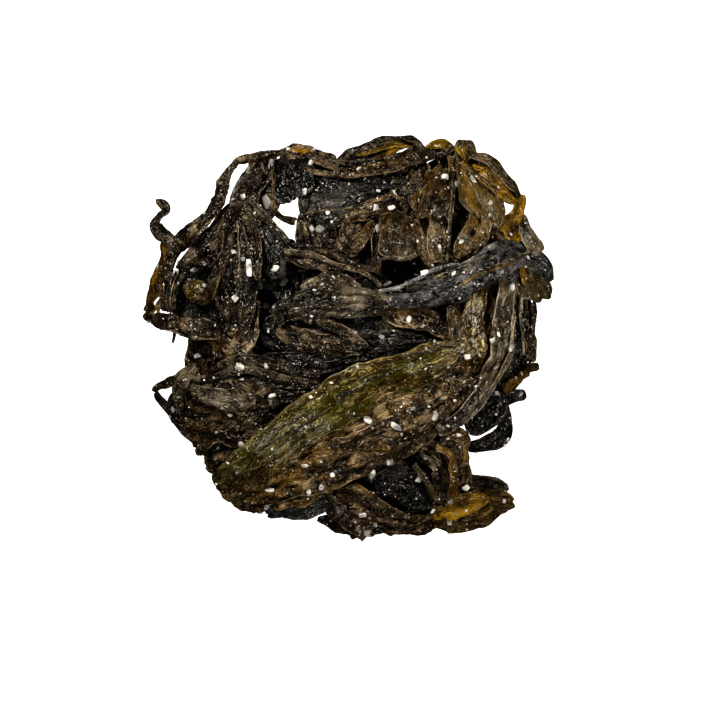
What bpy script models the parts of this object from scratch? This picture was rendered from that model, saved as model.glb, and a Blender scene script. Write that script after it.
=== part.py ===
"""Dried wakame: one bundle of stiff dried fronds, folded and rolled together and crusted with salt.

Metres, +Z up. The bundle lies on a small flat spot at z = 0, with the middle of its box over the origin.
Places and sizes below are in millimetres; MM turns them into metres.
"""

import math
import random

import bmesh
import bpy
from mathutils import Matrix, Vector, noise
from mathutils.bvhtree import BVHTree

MM = 0.001
NAME = "wakame_bundle"

# The dome that the fronds lie over, and how steeply a frond on it faces up
DOME_REACH = 43.0
RIM_LEVEL = 13.0
DOME_RISE = 19.0
OUT_STEEPNESS = 1.6
OUT_RISE = 42.0
LOOK_DOWN_FROM = 80.0

# The dark core inside it
CORE_REACH = 34.0
CORE_DROP = 0.6
CORE_SUNK = 3.0
CORE_FULLNESS = 0.375
CORE_SIDES = 22
CORE_RINGS = 9
CORE_LUMP = 2.0
LUMP_SPACING = 9.0

# Places where the bundle draws in: bearing from +X in degrees, depth, and half-angle in degrees
NOTCHES = (
    (116, 9.0, 15),
    (323, 5.0, 14),
    (158, 3.0, 16),
    (190, 2.5, 16),
)

# Fronds
BLADE = 1.0
RIB = 2.4
CORD = 1.7
STEP = 7.5
WAVE_LENGTH = 13.0
WAVE_HEIGHT = 0.7
PLEAT = 1.3
FLOOR_GAP = 0.35

# Fronds wrapped round the flank, in rows: how many, level, width, and bearing of the first
WRAP_ROWS = (
    (6, 3.2, 7.0, 20),
    (7, 9.5, 9.0, 0),
)
WRAP_TURN = 50
WRAP_CLIMB = 3.5
WRAP_OUT = 1.1

# Broad fronds under the rim that hold up the ones that show there: they start in the core and end
# near the rim, a little below and a little above the dome
UNDER_COUNT = 12
UNDER_REACHES = (17.0, 38.0)
UNDER_LIFTS = (-1.4, 0.6)
UNDER_WIDTHS = (8.4, 12.0, 9.6)
UNDER_CROWN = 10
UNDER_TURN = 22

# Salt
CRYSTALS = 16
CRYSTAL_SIZES = (1.1, 2.6)
CRYSTAL_REACH = 40.0

# Colours, roughness
FROND_COLOUR = (0.045, 0.031, 0.017, 1.0)
FROND_ROUGHNESS = 0.4


# Each frond: name, widths at its start, middle and end, crown and roll in degrees, pleats, thickness,
# and the route of its middle line as (x, y, height above the dome).
MIDDLE_FRONDS = (
    ("main_blade", (7, 14, 8), 14, 0, 2, BLADE,
     ((33, 14, 1.5), (32, 3, 2.5), (27, -8, 3), (7, -21, 3), (-8, -28, 3), (-25, -36, 1.5))),
    ("main_rib", (8.5, 10, 5.5), 18, -5, 0, RIB, ((-28, -33.5, 2.5), (-12, -21, 4.2), (6, -10, 4.6), (26, -2.5, 3.5))),
    ("rising_stem", (3.5, 5, 6), 30, 5, 0, RIB, ((29, 13, 3), (27.5, 5, 4), (26.5, -7, 3))),
    ("right_margin", (5.5, 5.5, 3.5), 15, 12, 2, BLADE, ((35, 15, 3), (34, 1.5, 5), (30, -10, 4.5), (19.5, -20, 2.5))),
    ("left_blade", (6, 13, 13.5), 14, -4, 3, BLADE,
     ((-2, -12.5, 0.5), (-11, -14, 2), (-24, -17, 2.5), (-35.5, -17.5, -1.5))),
    ("lower_blade", (6, 10.5, 9.5), 18, 0, 2, BLADE, ((-10, -20.5, 1), (-20, -23, 2), (-31.5, -26, -1.5))),
    ("pleat_a", (3.5, 5, 3.5), 45, 8, 0, CORD, ((-35, -9, 1), (-24, -7, 4), (-6, -8.5, 2))),
    ("pale_fold", (3.2, 4.2, 3.2), 45, 5, 0, CORD, ((-33, -6.5, 2), (-36, -10, 2.4), (-35.8, -15, 1))),
    ("black_band", (4, 7, 3.5), 24, 0, 0, RIB,
     ((44.5, 12.5, -0.5), (43, 16.5, 3), (37, 18.3, 6.5), (24, 13, 6), (12, 10, 4))),
    ("band_tail", (5, 8, 5.5), 20, 0, 2, BLADE, ((12, 7.5, 3.5), (-3, 8, 4.5), (-15, 4.5, 3))),
    ("cross_strand", (2.4, 3, 2), 55, 5, 0, CORD, ((-13, 19, 3.5), (-3, 16, 4.8), (8, 10.5, 4.5), (24, 15, 6))),
    ("tangle_a", (4, 6, 4), 25, 0, 2, BLADE, ((-16, 0.5, -0.8), (-5, -3, 0.2), (4, -4, -0.4))),
    ("tangle_b", (4, 6, 4), 25, 0, 2, BLADE, ((12, 5, 1), (18, 2.5, 1.5), (25, -2, 0.5))),
)
LEFT_FRONDS = (
    ("fan", (6, 12, 9), 22, 0, 4, BLADE, ((-22.5, 28.5, 4.5), (-23.5, 18, 5), (-24.5, 8, 4), (-26, -1, 2))),
    ("fan_right", (4, 6, 5), 24, 4, 2, BLADE, ((-19.8, 27.5, 4), (-16, 19, 3.6), (-15, 12, 1.5))),
    ("knot", (2.6, 3.8, 2.2), 65, 0, 0, CORD, ((-26.5, 25.5, 2), (-22, 28, 6.5), (-17, 25, 4), (-12.5, 20, 2))),
    ("outer_hoop", (2.4, 4, 2.6), 65, 10, 0, CORD,
     ((-39.4, 6, 0), (-38.3, 16, 5), (-32, 24, 8), (-27, 34, 7), (-20, 39.4, 6), (-10.5, 41.3, 5), (-2.5, 38.5, 3))),
    ("tendril", (2.6, 3, 2), 50, 6, 0, CORD,
     ((-36, 20, 5), (-39.5, 22, 5), (-41.8, 25, 6), (-39.6, 28, 8.5), (-41, 29.6, 9))),
    ("amber_flap", (4.4, 4.5, 3.5), 26, 4, 0, BLADE, ((-40.3, 20.2, 1), (-41, 13, 2.5), (-43.6, 5.6, 0))),
    ("corner_band", (2.5, 5, 5), 32, 0, 0, BLADE, ((-44.3, 5, -1), (-37, 3, 2), (-26, 1.5, 2))),
    ("thorn", (2, 2, 0.8), 30, 0, 0, CORD, ((-35, 3.5, -0.5), (-38, -1.3, -1.5))),
    ("inner_strap", (2.5, 3.5, 2.6), 45, 12, 0, CORD, ((-24.5, 26.8, 4.5), (-34, 17.5, 3.8), (-38.3, 6, 1))),
    ("inner_blade", (3.5, 6.5, 7), 18, 0, 2, BLADE, ((-26, 25, 3), (-30, 19, 2), (-32.5, 12, 0))),
    ("left_point", (2.4, 2.6, 2.2), 42, 0, 0, CORD,
     ((-31.5, -7.4, -3.2), (-42.4, -12, -3.5), (-38.5, -17, -3.5), (-33, -22, -4))),
    ("left_wall", (7, 9, 8), 20, 0, 0, BLADE, ((-30.5, -1, -3), (-31, -10, -3.6), (-32, -18, -4))),
)
UPPER_FRONDS = (
    ("top_left_pleat", (5, 6.5, 6), 25, 5, 2, BLADE, ((-17.8, 39.8, 3), (-20, 34, 4.4), (-21.6, 27.5, 4))),
    ("hanging_panel", (7, 10, 9.5), 12, 0, 2, BLADE, ((-12.4, 40, 2), (-11.8, 35, 3), (-11, 30, 1.5))),
    ("top_left_shoulder", (2.5, 4, 3), 40, 0, 0, CORD, ((-16, 40.5, 3), (-8, 40.3, 3.4), (-1.5, 37, 3))),
    ("upper_web", (6.5, 9, 7), 15, 0, 2, BLADE, ((-10, 29, 0), (2, 31.5, 1.5), (13, 33.5, 1.5))),
    ("top_twist", (3.5, 4.5, 2.5), 70, 30, 0, CORD, ((-9, 37.5, 3), (3, 36, 5), (14, 38.6, 5), (23, 41.5, 3.8))),
    ("top_loop", (2, 3, 2), 60, 14, 0, CORD, ((-2, 38, 2), (5, 42.4, 5), (11, 44, 7), (15, 43.4, 6), (18, 39, 3))),
    ("top_right_tab", (3.6, 4.4, 4), 20, 0, 0, CORD, ((25.8, 42.9, 3.8), (25.9, 40.5, 4.5), (25.8, 37.8, 3.8))),
    ("tan_blade", (3, 8.5, 3.6), 10, -8, 0, BLADE, ((25, 39, 3.5), (29.3, 31.5, 4.5), (31.8, 23.5, 2.5))),
    ("amber_tube", (2.4, 4.4, 2.4), 18, 0, 0, BLADE, ((28, 37.2, 2.6), (33.3, 33.3, 3.6), (38.4, 30.9, 2.5))),
    ("right_arc", (2.6, 3.2, 2.2), 45, 12, 0, CORD, ((27.8, 40.3, 2.5), (34, 36.4, 4.4), (38.2, 30.8, 4))),
    ("gold_hoop", (2.8, 3.6, 5.5), 26, 0, 0, BLADE, ((37.5, 31, 4), (37.3, 27, 4.2), (34.6, 22, 3))),
    ("pale_strap", (1.6, 3.5, 3), 18, 0, 0, BLADE, ((38.8, 26.2, 2.5), (40, 22.5, 3.5), (43, 18.6, 4))),
    ("curl_leaf", (6, 9, 8.5), 20, 5, 2, BLADE, ((11.8, 27, 3), (10.8, 22, 5.2), (10.9, 17, 5))),
    ("left_leaf", (5, 6.5, 6), 20, 0, 2, BLADE, ((4, 27, 2), (1.5, 22, 3), (-3, 17, 2))),
    ("slope_leaf", (5, 7, 5), 16, 0, 2, BLADE, ((16.5, 38, 2), (14, 33.5, 2.6), (12.5, 28.5, 1.5))),
    ("crumple_leaf", (4, 8, 8), 14, 0, 2, BLADE, ((21, 37, 2.5), (18.8, 31, 4.2), (17.6, 25.5, 3.8))),
    ("vertical_leaf", (3.6, 5.4, 5), 20, 5, 2, BLADE, ((20.2, 27.5, 3.8), (19.9, 22, 5), (19.8, 16, 4.2))),
    ("grey_leaf", (4.6, 7, 5.4), 16, 0, 2, BLADE, ((26.4, 28, 2.4), (27, 24, 3.4), (26, 19.6, 2.8))),
    ("centre_mat", (5, 9, 8), 14, 0, 2, BLADE, ((-11, 22, 0), (-6, 19, 1.2), (4, 15, 1))),
)
RIGHT_AND_LOW_FRONDS = (
    ("right_tip", (5.5, 6, 2.8), 14, 0, 0, BLADE, ((36.5, 12.5, 1.5), (41, 11.5, 2.2), (45.1, 9.9, 0.8))),
    ("right_fold", (3.4, 5.6, 4.5), 40, 8, 2, BLADE, ((39, 9, 1.5), (39.6, 0, 2.6), (38.2, -6, 1))),
    ("right_knob", (1.8, 2.6, 2.4), 50, 0, 0, CORD, ((41.8, -6.4, 1), (38, -8.4, 2.2), (34.5, -12, 1))),
    ("small_stub", (2.6, 3, 2.4), 45, 0, 0, CORD, ((34.5, -14, -2), (39.2, -12.6, -2))),
    ("corner_panel", (4.5, 8, 4), 14, 0, 2, BLADE, ((33.8, -10.8, -0.6), (32, -16, -1.2), (27.5, -19, -2))),
    ("right_hoop", (3, 4, 2.8), 45, 0, 0, CORD, ((34.4, -15, -1), (34.4, -20, -0.5), (31.5, -23, -1), (26.3, -23.8, -2))),
    ("bottom_leaf", (7, 10.5, 5), 15, 0, 2, BLADE, ((-3, -35, 0), (4, -39, 1), (18.8, -41.3, -1))),
    ("bottom_leaf_b", (4.5, 8, 5), 16, 0, 2, BLADE, ((5, -29, 0), (12, -32.5, 1.3), (19, -36, 1))),
    ("cup_fold", (5, 5, 3.5), 30, 7, 0, BLADE, ((20.5, -22, 1.5), (24.8, -26, 3), (24.6, -34.5, 0.8))),
    ("cup_wall", (5, 5.5, 3.4), 20, 0, 0, BLADE, ((16, -24, 0.5), (21, -29, 1.2), (20.5, -35, 0.6))),
    ("amber_leaf", (5, 8.4, 2.4), 12, 0, 2, BLADE, ((17.4, -40.8, -0.5), (27, -38.5, 0.9), (36.5, -36.5, -0.5))),
    ("amber_leaf_fold", (4.6, 5, 2.4), 24, 0, 0, CORD, ((25.5, -32.3, 0.5), (30, -32.5, 1.4), (35.4, -34, 0))),
    ("bottom_dark", (2.5, 5.5, 5), 20, 0, 0, BLADE, ((-18, -38.6, -1.5), (-12, -37, -0.8), (-5, -34.5, -0.3))),
    ("bottom_strip", (2.2, 3.8, 1.6), 30, 0, 0, CORD, ((-6.3, -39.8, -1.5), (-1.5, -41, -1.5), (2.4, -44.2, -1.8))),
    ("bottom_point", (2.2, 3.2, 1.6), 45, 0, 0, CORD, ((-3, -36, 1), (0.5, -40, 1.2), (3.3, -44.2, 0))),
)


def notch_depth(bearing):
    """How far the bundle draws in at a bearing in degrees."""
    depth = 0.0
    for middle, deep, half_angle in NOTCHES:
        away = (bearing - middle + 180) % 360 - 180
        depth += deep * math.exp(-((away / half_angle) ** 2))
    return depth


def dome_height(x, y):
    """Height of the dome that the fronds lie over."""
    inside = max(0.0, 1 - (x * x + y * y) / DOME_REACH**2)
    return RIM_LEVEL + DOME_RISE * math.sqrt(inside)


def core_reach(bearing, level):
    """How far the core reaches out at a bearing in degrees and a level below the dome."""
    sunk = min(0.0, (level - RIM_LEVEL) / (RIM_LEVEL + CORE_SUNK))
    return (CORE_REACH - notch_depth(bearing)) * (1 - sunk * sunk) ** CORE_FULLNESS


def outward(point):
    """The way a frond faces at a point: mostly up, and more outward near the rim."""
    away = Vector((point.x, point.y, OUT_STEEPNESS * (point.z - RIM_LEVEL) + OUT_RISE))
    return away.normalized()


def from_inside(point):
    """Direction away from the inside of the core."""
    return Vector((point.x, point.y, OUT_STEEPNESS * (point.z - RIM_LEVEL))).normalized()


def smooth_line(points, count):
    """Count points evenly spread along a Catmull-Rom curve through the given points."""
    ends = [2 * points[0] - points[1], *points, 2 * points[-1] - points[-2]]
    line = []
    for i in range(count):
        along = i / (count - 1) * (len(points) - 1)
        k = min(int(along), len(points) - 2)
        t = along - k
        a, b, c, d = ends[k : k + 4]
        line.append(0.5 * (2 * b + (c - a) * t + (2 * a - 5 * b + 4 * c - d) * t * t
                           + (3 * b - a - 3 * c + d) * t**3))
    return line


def cross_section(half_width, crown, pleats, count):
    """Side and height of the points across a frond: an arc with small pleats on it."""
    points = []
    bend = math.radians(max(crown, 1))
    radius = half_width / math.sin(min(bend, math.pi / 2))
    for j in range(count):
        share = 2 * j / (count - 1) - 1
        pleat = PLEAT / 2 * (-1) ** j if pleats and 0 < j < count - 1 else 0.0
        side = radius * math.sin(share * bend)
        height = radius * (math.cos(share * bend) - 1) + pleat
        points.append((side, height))
    return points


def sheet_object(name, grid, thickness):
    """A sheet through a grid of points, each square split alike, thickened to a closed solid."""
    mesh = bpy.data.meshes.new(name)
    columns = len(grid[0])
    corners = [point * MM for row in grid for point in row]
    triangles = []
    for i in range(len(grid) - 1):
        for j in range(columns - 1):
            a = i * columns + j
            b, c, d = a + 1, a + columns + 1, a + columns
            triangles += [(a, b, c), (a, c, d)]
    mesh.from_pydata(corners, [], triangles)
    piece = bpy.data.objects.new(name, mesh)
    bpy.context.collection.objects.link(piece)
    wall = piece.modifiers.new("wall", "SOLIDIFY")
    wall.thickness = thickness * MM
    wall.offset = 0
    return piece


def frond(name, widths, crown, roll, pleats, thickness, route, lift=True):
    """One frond: a wavy strip that follows its route, arched across by its crown."""
    points = [Vector((x, y, dome_height(x, y) + z if lift else z)) for x, y, z in route]
    length = sum((b - a).length for a, b in zip(points, points[1:]))
    count = max(4, round(length / STEP) + 1)
    line = smooth_line(points, count)
    columns = pleats + 2 if pleats else 3
    phase = noise.random() * math.tau
    grid = []
    for i, middle in enumerate(line):
        before, after = line[max(i - 1, 0)], line[min(i + 1, count - 1)]
        ahead = (after - before).normalized()
        side = ahead.cross(outward(middle) if lift else from_inside(middle)).normalized()
        up = side.cross(ahead)
        turn = Matrix.Rotation(math.radians(roll), 3, ahead)
        side, up = turn @ side, turn @ up
        share = i / (count - 1)
        first, widest, last = widths
        width = first + (widest - first) * min(1, 3 * share)
        width += (last - widest) * max(0, 3 * share - 2)
        wave = WAVE_HEIGHT * math.sin(math.tau * share * length / WAVE_LENGTH + phase)
        row = []
        for out, rise in cross_section(width / 2, crown, pleats, columns):
            point = middle + side * out + up * (rise + wave * (1 if pleats else 0.4))
            point.z = max(point.z, thickness / 2 + FLOOR_GAP)
            row.append(point)
        grid.append(row)
    return sheet_object(name, grid, thickness)


def core():
    """The packed inside: a lumpy low dome with a flat spot to rest on."""
    grid = []
    for ring in range(CORE_RINGS + 1):
        tilt = math.radians(-90 + 180 * ring / CORE_RINGS)
        row = []
        for k in range(CORE_SIDES):
            bearing = 360 * k / CORE_SIDES
            depth = DOME_RISE - CORE_DROP if tilt > 0 else RIM_LEVEL + CORE_SUNK
            z = RIM_LEVEL + depth * math.sin(tilt)
            reach = core_reach(bearing, RIM_LEVEL) * math.cos(tilt) ** (2 * CORE_FULLNESS)
            x, y = reach * math.cos(math.radians(bearing)), reach * math.sin(math.radians(bearing))
            place = Vector((x, y, z))
            lump = CORE_LUMP * noise.noise(place / LUMP_SPACING)
            row.append(place + from_inside(place) * lump)
        grid.append(row)
    bm = bmesh.new()
    rings = [[bm.verts.new(point * MM) for point in row] for row in grid[1:-1]]
    top, bottom = bm.verts.new(grid[-1][0] * MM), bm.verts.new(grid[0][0] * MM)
    for k in range(CORE_SIDES):
        n = (k + 1) % CORE_SIDES
        bm.faces.new((bottom, rings[0][n], rings[0][k]))
        bm.faces.new((top, rings[-1][k], rings[-1][n]))
        for lower, upper in zip(rings, rings[1:]):
            bm.faces.new((lower[k], lower[n], upper[n], upper[k]))
    everything = bm.verts[:] + bm.edges[:] + bm.faces[:]
    cut = bmesh.ops.bisect_plane(bm, geom=everything, plane_co=(0, 0, 0), plane_no=(0, 0, -1), clear_outer=True)
    rim = [edge for edge in cut["geom_cut"] if isinstance(edge, bmesh.types.BMEdge)]
    bmesh.ops.contextual_create(bm, geom=rim)
    bmesh.ops.recalc_face_normals(bm, faces=bm.faces[:])
    mesh = bpy.data.meshes.new("core")
    bm.to_mesh(mesh)
    bm.free()
    piece = bpy.data.objects.new("core", mesh)
    bpy.context.collection.objects.link(piece)
    return piece


def under_fronds(draws):
    """Hidden fronds that spread from the core to the rim, short of the places where the bundle draws in."""
    pieces = []
    start_reach, end_reach = UNDER_REACHES
    start_lift, end_lift = UNDER_LIFTS
    for k in range(UNDER_COUNT):
        start = 360 * k / UNDER_COUNT + draws.uniform(-5, 5)
        route = []
        for step in range(3):
            share = step / 2
            bearing = start + UNDER_TURN * share
            reach = start_reach + (end_reach - 2 * notch_depth(bearing) - start_reach) * share
            x, y = reach * math.cos(math.radians(bearing)), reach * math.sin(math.radians(bearing))
            route.append((x, y, start_lift + (end_lift - start_lift) * share))
        pieces.append(frond(f"under_{k}", UNDER_WIDTHS, UNDER_CROWN, 0, 0, BLADE, route))
    return pieces


def flank_wraps(draws):
    """Fronds that run round the flank below the rim, in rows, by a rule with small random turns."""
    pieces = []
    for row, (count, level, width, first) in enumerate(WRAP_ROWS):
        for k in range(count):
            start = first + 360 * k / count + draws.uniform(-6, 6)
            low = level + draws.uniform(-1, 1)
            climb = WRAP_CLIMB * draws.uniform(-1, 1)
            route = []
            for step in range(4):
                bearing = start + WRAP_TURN * step / 3
                z = max(1.0, low + climb * (step / 3 - 0.5))
                reach = core_reach(bearing, z) + WRAP_OUT
                x, y = reach * math.cos(math.radians(bearing)), reach * math.sin(math.radians(bearing))
                route.append((x, y, z))
            widths = (0.6 * width, width * draws.uniform(0.8, 1.2), 0.5 * width)
            roll = draws.uniform(-12, 12)
            pieces.append(frond(f"wrap_{row}_{k}", widths, 25, roll, 0, BLADE, route, lift=False))
    return pieces


def crystals(fronds, draws):
    """The largest salt crystals, set a third of their depth into what lies under them."""
    depsgraph = bpy.context.evaluated_depsgraph_get()
    trees = [BVHTree.FromObject(piece, depsgraph) for piece in fronds]
    above = Vector((0, 0, LOOK_DOWN_FROM * MM))
    pieces = []
    golden = math.pi * (3 - math.sqrt(5))
    for k in range(CRYSTALS):
        reach = CRYSTAL_REACH * math.sqrt((k + 0.5) / CRYSTALS)
        bearing = k * golden + draws.uniform(-0.15, 0.15)
        place = Vector((reach * math.cos(bearing), reach * math.sin(bearing), 0)) * MM
        hits = [tree.ray_cast(place + above, Vector((0, 0, -1))) for tree in trees]
        hits = [hit for hit in hits if hit[0] is not None]
        if not hits:
            continue
        spot = max(hits, key=lambda hit: hit[0].z)
        small, large = CRYSTAL_SIZES
        size = small + (large - small) * draws.random() ** 2
        bm = bmesh.new()
        bmesh.ops.create_cube(bm, size=size * MM)
        stretch = Vector((1.0, draws.uniform(0.7, 1.0), draws.uniform(0.55, 0.9)))
        bmesh.ops.scale(bm, vec=stretch, verts=bm.verts)
        lie = spot[1].to_track_quat("Z", "Y").to_matrix()
        spin = Matrix.Rotation(draws.uniform(0, math.tau), 3, "Z") @ Matrix.Rotation(0.3, 3, "X")
        bmesh.ops.transform(bm, matrix=(lie @ spin).to_4x4(), verts=bm.verts)
        bmesh.ops.translate(bm, vec=spot[0] + spot[1] * size * MM / 6, verts=bm.verts)
        mesh = bpy.data.meshes.new(f"crystal_{k}")
        bm.to_mesh(mesh)
        bm.free()
        piece = bpy.data.objects.new(f"crystal_{k}", mesh)
        bpy.context.collection.objects.link(piece)
        pieces.append(piece)
    return pieces


def fuse(base, pieces):
    """One Boolean union of the base and all pieces, applied; the pieces are then removed."""
    group = bpy.data.collections.new("fused")
    for piece in pieces:
        group.objects.link(piece)
    union = base.modifiers.new("union", "BOOLEAN")
    union.operation = "UNION"
    union.operand_type = "COLLECTION"
    union.collection = group
    union.solver = "MANIFOLD"
    solid = bpy.data.meshes.new_from_object(base.evaluated_get(bpy.context.evaluated_depsgraph_get()))
    base.modifiers.clear()
    base.data = solid
    for piece in pieces:
        bpy.data.objects.remove(piece)
    bpy.data.collections.remove(group)
    return base


def islands(bm):
    """The separate closed shells of a mesh."""
    left = set(bm.faces)
    found = []
    while left:
        shell, waiting = [], [left.pop()]
        while waiting:
            face = waiting.pop()
            shell.append(face)
            for edge in face.edges:
                for other in edge.link_faces:
                    if other in left:
                        left.remove(other)
                        waiting.append(other)
        found.append(shell)
    return found


def keep_one_body(piece):
    """Fill hollows that fusing sealed and drop loose scraps, so that one closed body is left."""
    bm = bmesh.new()
    bm.from_mesh(piece.data)
    shells = sorted(islands(bm), key=len, reverse=True)
    spare = [face for shell in shells[1:] for face in shell]
    bmesh.ops.delete(bm, geom=spare, context="FACES")
    bm.to_mesh(piece.data)
    bm.free()


def centre_in_box(piece):
    """Move the bundle so that the middle of its box is over the origin."""
    xs = [vertex.co.x for vertex in piece.data.vertices]
    ys = [vertex.co.y for vertex in piece.data.vertices]
    middle = Vector((-(min(xs) + max(xs)) / 2, -(min(ys) + max(ys)) / 2, 0))
    piece.data.transform(Matrix.Translation(middle))


def frond_material():
    """Dark brown dried frond."""
    material = bpy.data.materials.new("dried_frond")
    material.use_nodes = True
    shader = material.node_tree.nodes["Principled BSDF"]
    shader.inputs["Base Color"].default_value = FROND_COLOUR
    shader.inputs["Roughness"].default_value = FROND_ROUGHNESS
    shader.inputs["Metallic"].default_value = 0.0
    return material


def build():
    for old in list(bpy.data.objects):
        bpy.data.objects.remove(old)
    noise.seed_set(7)
    draws = random.Random(7)
    rows = MIDDLE_FRONDS + LEFT_FRONDS + UPPER_FRONDS + RIGHT_AND_LOW_FRONDS
    fronds = [frond(*row) for row in rows]
    fronds += under_fronds(random.Random(5))
    fronds += flank_wraps(draws)
    base = core()
    salt = crystals(fronds + [base], draws)
    bundle = fuse(base, fronds + salt)
    bundle.name = NAME
    keep_one_body(bundle)
    centre_in_box(bundle)
    bundle.data.materials.clear()
    bundle.data.materials.append(frond_material())


build()
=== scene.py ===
# %% [markdown]
# # Dried wakame
# A bundle of dried wakame is a heap of thin fronds that shrank as they dried. They are folded, rolled
# and pressed together, wrinkled lengthwise, and crusted with the salt they were packed in. This lesson
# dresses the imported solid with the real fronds, one strip at a time.

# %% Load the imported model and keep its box
import math
import random
import zlib

import bpy
import numpy as np
from mathutils import Matrix, Vector
from mathutils.bvhtree import BVHTree


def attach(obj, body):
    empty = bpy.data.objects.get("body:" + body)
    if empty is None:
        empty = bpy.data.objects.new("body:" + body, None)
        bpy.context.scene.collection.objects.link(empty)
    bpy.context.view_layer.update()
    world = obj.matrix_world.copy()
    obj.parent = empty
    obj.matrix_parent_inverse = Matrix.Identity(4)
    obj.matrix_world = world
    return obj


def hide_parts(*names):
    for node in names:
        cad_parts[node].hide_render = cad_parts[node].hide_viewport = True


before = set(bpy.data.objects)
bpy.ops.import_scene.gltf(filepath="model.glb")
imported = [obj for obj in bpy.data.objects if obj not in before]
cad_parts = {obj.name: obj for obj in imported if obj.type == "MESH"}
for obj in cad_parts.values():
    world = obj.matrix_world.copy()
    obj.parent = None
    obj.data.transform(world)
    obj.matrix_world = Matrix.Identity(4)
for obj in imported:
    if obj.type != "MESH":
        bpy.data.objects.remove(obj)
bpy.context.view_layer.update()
bpy.ops.object.select_all(action="DESELECT")
NODE = "wakame_bundle"

# %% [markdown]
# ## Sizes that everything is worked out from
# The routes below are in millimetres on the bundle's own plan, seen from above. The dome is the smooth
# form that the fronds lie over, so a route only states how far above the dome a frond runs. The mesh
# cell is one square of a frond: it has to be finer than a wrinkle, which is about 1 mm. The notches, as
# (bearing, depth, half angle), are where the flank falls back. The hollows, as (x, y, radius), are the
# places where one looks deep into the heap.

# %% Driving sizes
MM = 0.001
BOX_MIDDLE = (0.7, 0.25)
DOME_REACH, RIM_LEVEL, DOME_RISE = 43.0, 13.0, 19.0
CORE_REACH, CORE_DROP, CORE_SUNK = 31.5, 6.5, 3.0
FLOOR_GAP = 0.25
CELL = 0.26
COARSE_CELL = 0.36
NOTCHES = ((116, 12.5, 15), (323, 6.0, 14), (158, 3.0, 16), (190, 2.5, 16))
OPEN_GAP = (-12.0, 25.5, 6.5)
HOLLOWS = ((-17, -3, 2.5), (-17, 8.5, 3), (5, 1.5, 3.5), (10.5, 14.5, 3), (24.5, 29, 2.5), (-31, -3, 2),
           (17, -27, 3), (8, -32, 3))


def dome_height(x, y):
    """Height in mm of the dome that the fronds lie over."""
    inside = np.maximum(0.0, 1 - (x * x + y * y) / DOME_REACH**2)
    return RIM_LEVEL + DOME_RISE * np.sqrt(inside)


def core_reach(bearing, level):
    """How far in mm the flank reaches out at a bearing in degrees and a height in mm."""
    depth = 0.0
    for middle, deep, half_angle in NOTCHES:
        away = (bearing - middle + 180) % 360 - 180
        depth = depth + deep * np.exp(-((away / half_angle) ** 2))
    sunk = np.minimum(0.0, (level - RIM_LEVEL) / (RIM_LEVEL + CORE_SUNK))
    return (CORE_REACH - depth) * (1 - sunk * sunk) ** 0.375


def on_plan(points):
    """Points in mm on the bundle's plan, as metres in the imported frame."""
    moved = np.array(points, float)
    moved[:, :2] -= BOX_MIDDLE
    return moved * MM


print("frond cell:", CELL, "mm")

# %% [markdown]
# ## Colours
# Dried wakame is nearly black where it lies thick, brown where one layer shows, olive on its midrib and
# golden where light comes through a single thin blade; that glow is painted into the colour, as the gold
# finish and as the thin spots of each finish. The colours are stated as they look in daylight, from 0 to
# 255, and turned into the linear values that a shader works with.


# %% Colours and finishes
def daylight(red, green, blue):
    """A colour as it looks, from 0 to 255, as linear values for a shader."""
    linear = []
    for value in (red, green, blue):
        share = value / 255
        linear.append(share / 12.92 if share <= 0.04045 else ((share + 0.055) / 1.055) ** 2.4)
    return (*linear, 1.0)


SALT_BLOOM = daylight(140, 132, 116)

# finish: (deep, body, dry film and painted highlight, painted glow of thin spots), share of thin spots,
# roughness, crumple, long lines
FINISHES = {
    "black": (((1, 1, 2), (19, 17, 15), (106, 102, 95), (34, 26, 12)), 0.15, 0.3, 0.65, 0.2),
    # slate: the grey of the black band, partly its own grey and partly a painted sheen on its smooth top.
    "slate": (((6, 6, 8), (82, 81, 82), (196, 196, 196), (88, 82, 72)), 0.3, 0.32, 0.6, 0.9),
    "dark": (((2, 1, 0), (34, 23, 6), (158, 140, 114), (66, 46, 3)), 0.3, 0.32, 1.0, 0.3),
    "pale": (((6, 4, 1), (50, 40, 24), (184, 172, 146), (70, 53, 14)), 0.3, 0.32, 0.8, 0.6),
    "brown": (((6, 3, 0), (58, 37, 5), (170, 146, 110), (100, 67, 1)), 0.4, 0.32, 1.0, 0.3),
    "blade": (((7, 4, 0), (64, 45, 7), (176, 154, 118), (88, 64, 1)), 0.5, 0.32, 1.0, 0.4),
    "rib": (((38, 26, 0), (62, 45, 0), (196, 182, 126), (52, 58, 0)), 0.5, 0.3, 0.18, 1.0),
    # film: a pale salt film on the skin, partly a painted sheen.
    "film": (((26, 18, 8), (114, 100, 72), (220, 212, 192), (120, 98, 40)), 0.3, 0.36, 0.7, 0.7),
    "tan": (((20, 13, 2), (88, 67, 27), (174, 154, 118), (110, 81, 12)), 0.4, 0.34, 0.7, 0.4),
    "leaf": (((50, 40, 18), (104, 86, 48), (180, 164, 126), (138, 104, 26)), 0.3, 0.34, 0.42, 0.35),
    "amber": (((28, 17, 0), (80, 58, 4), (156, 130, 70), (158, 118, 4)), 0.45, 0.32, 0.7, 0.2),
    # gold: the painted glow of light coming through a single thin layer.
    "gold": (((54, 37, 0), (136, 104, 4), (190, 158, 66), (206, 163, 6)), 0.5, 0.32, 0.6, 0.6),
}
print("finishes:", ", ".join(FINISHES))

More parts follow.
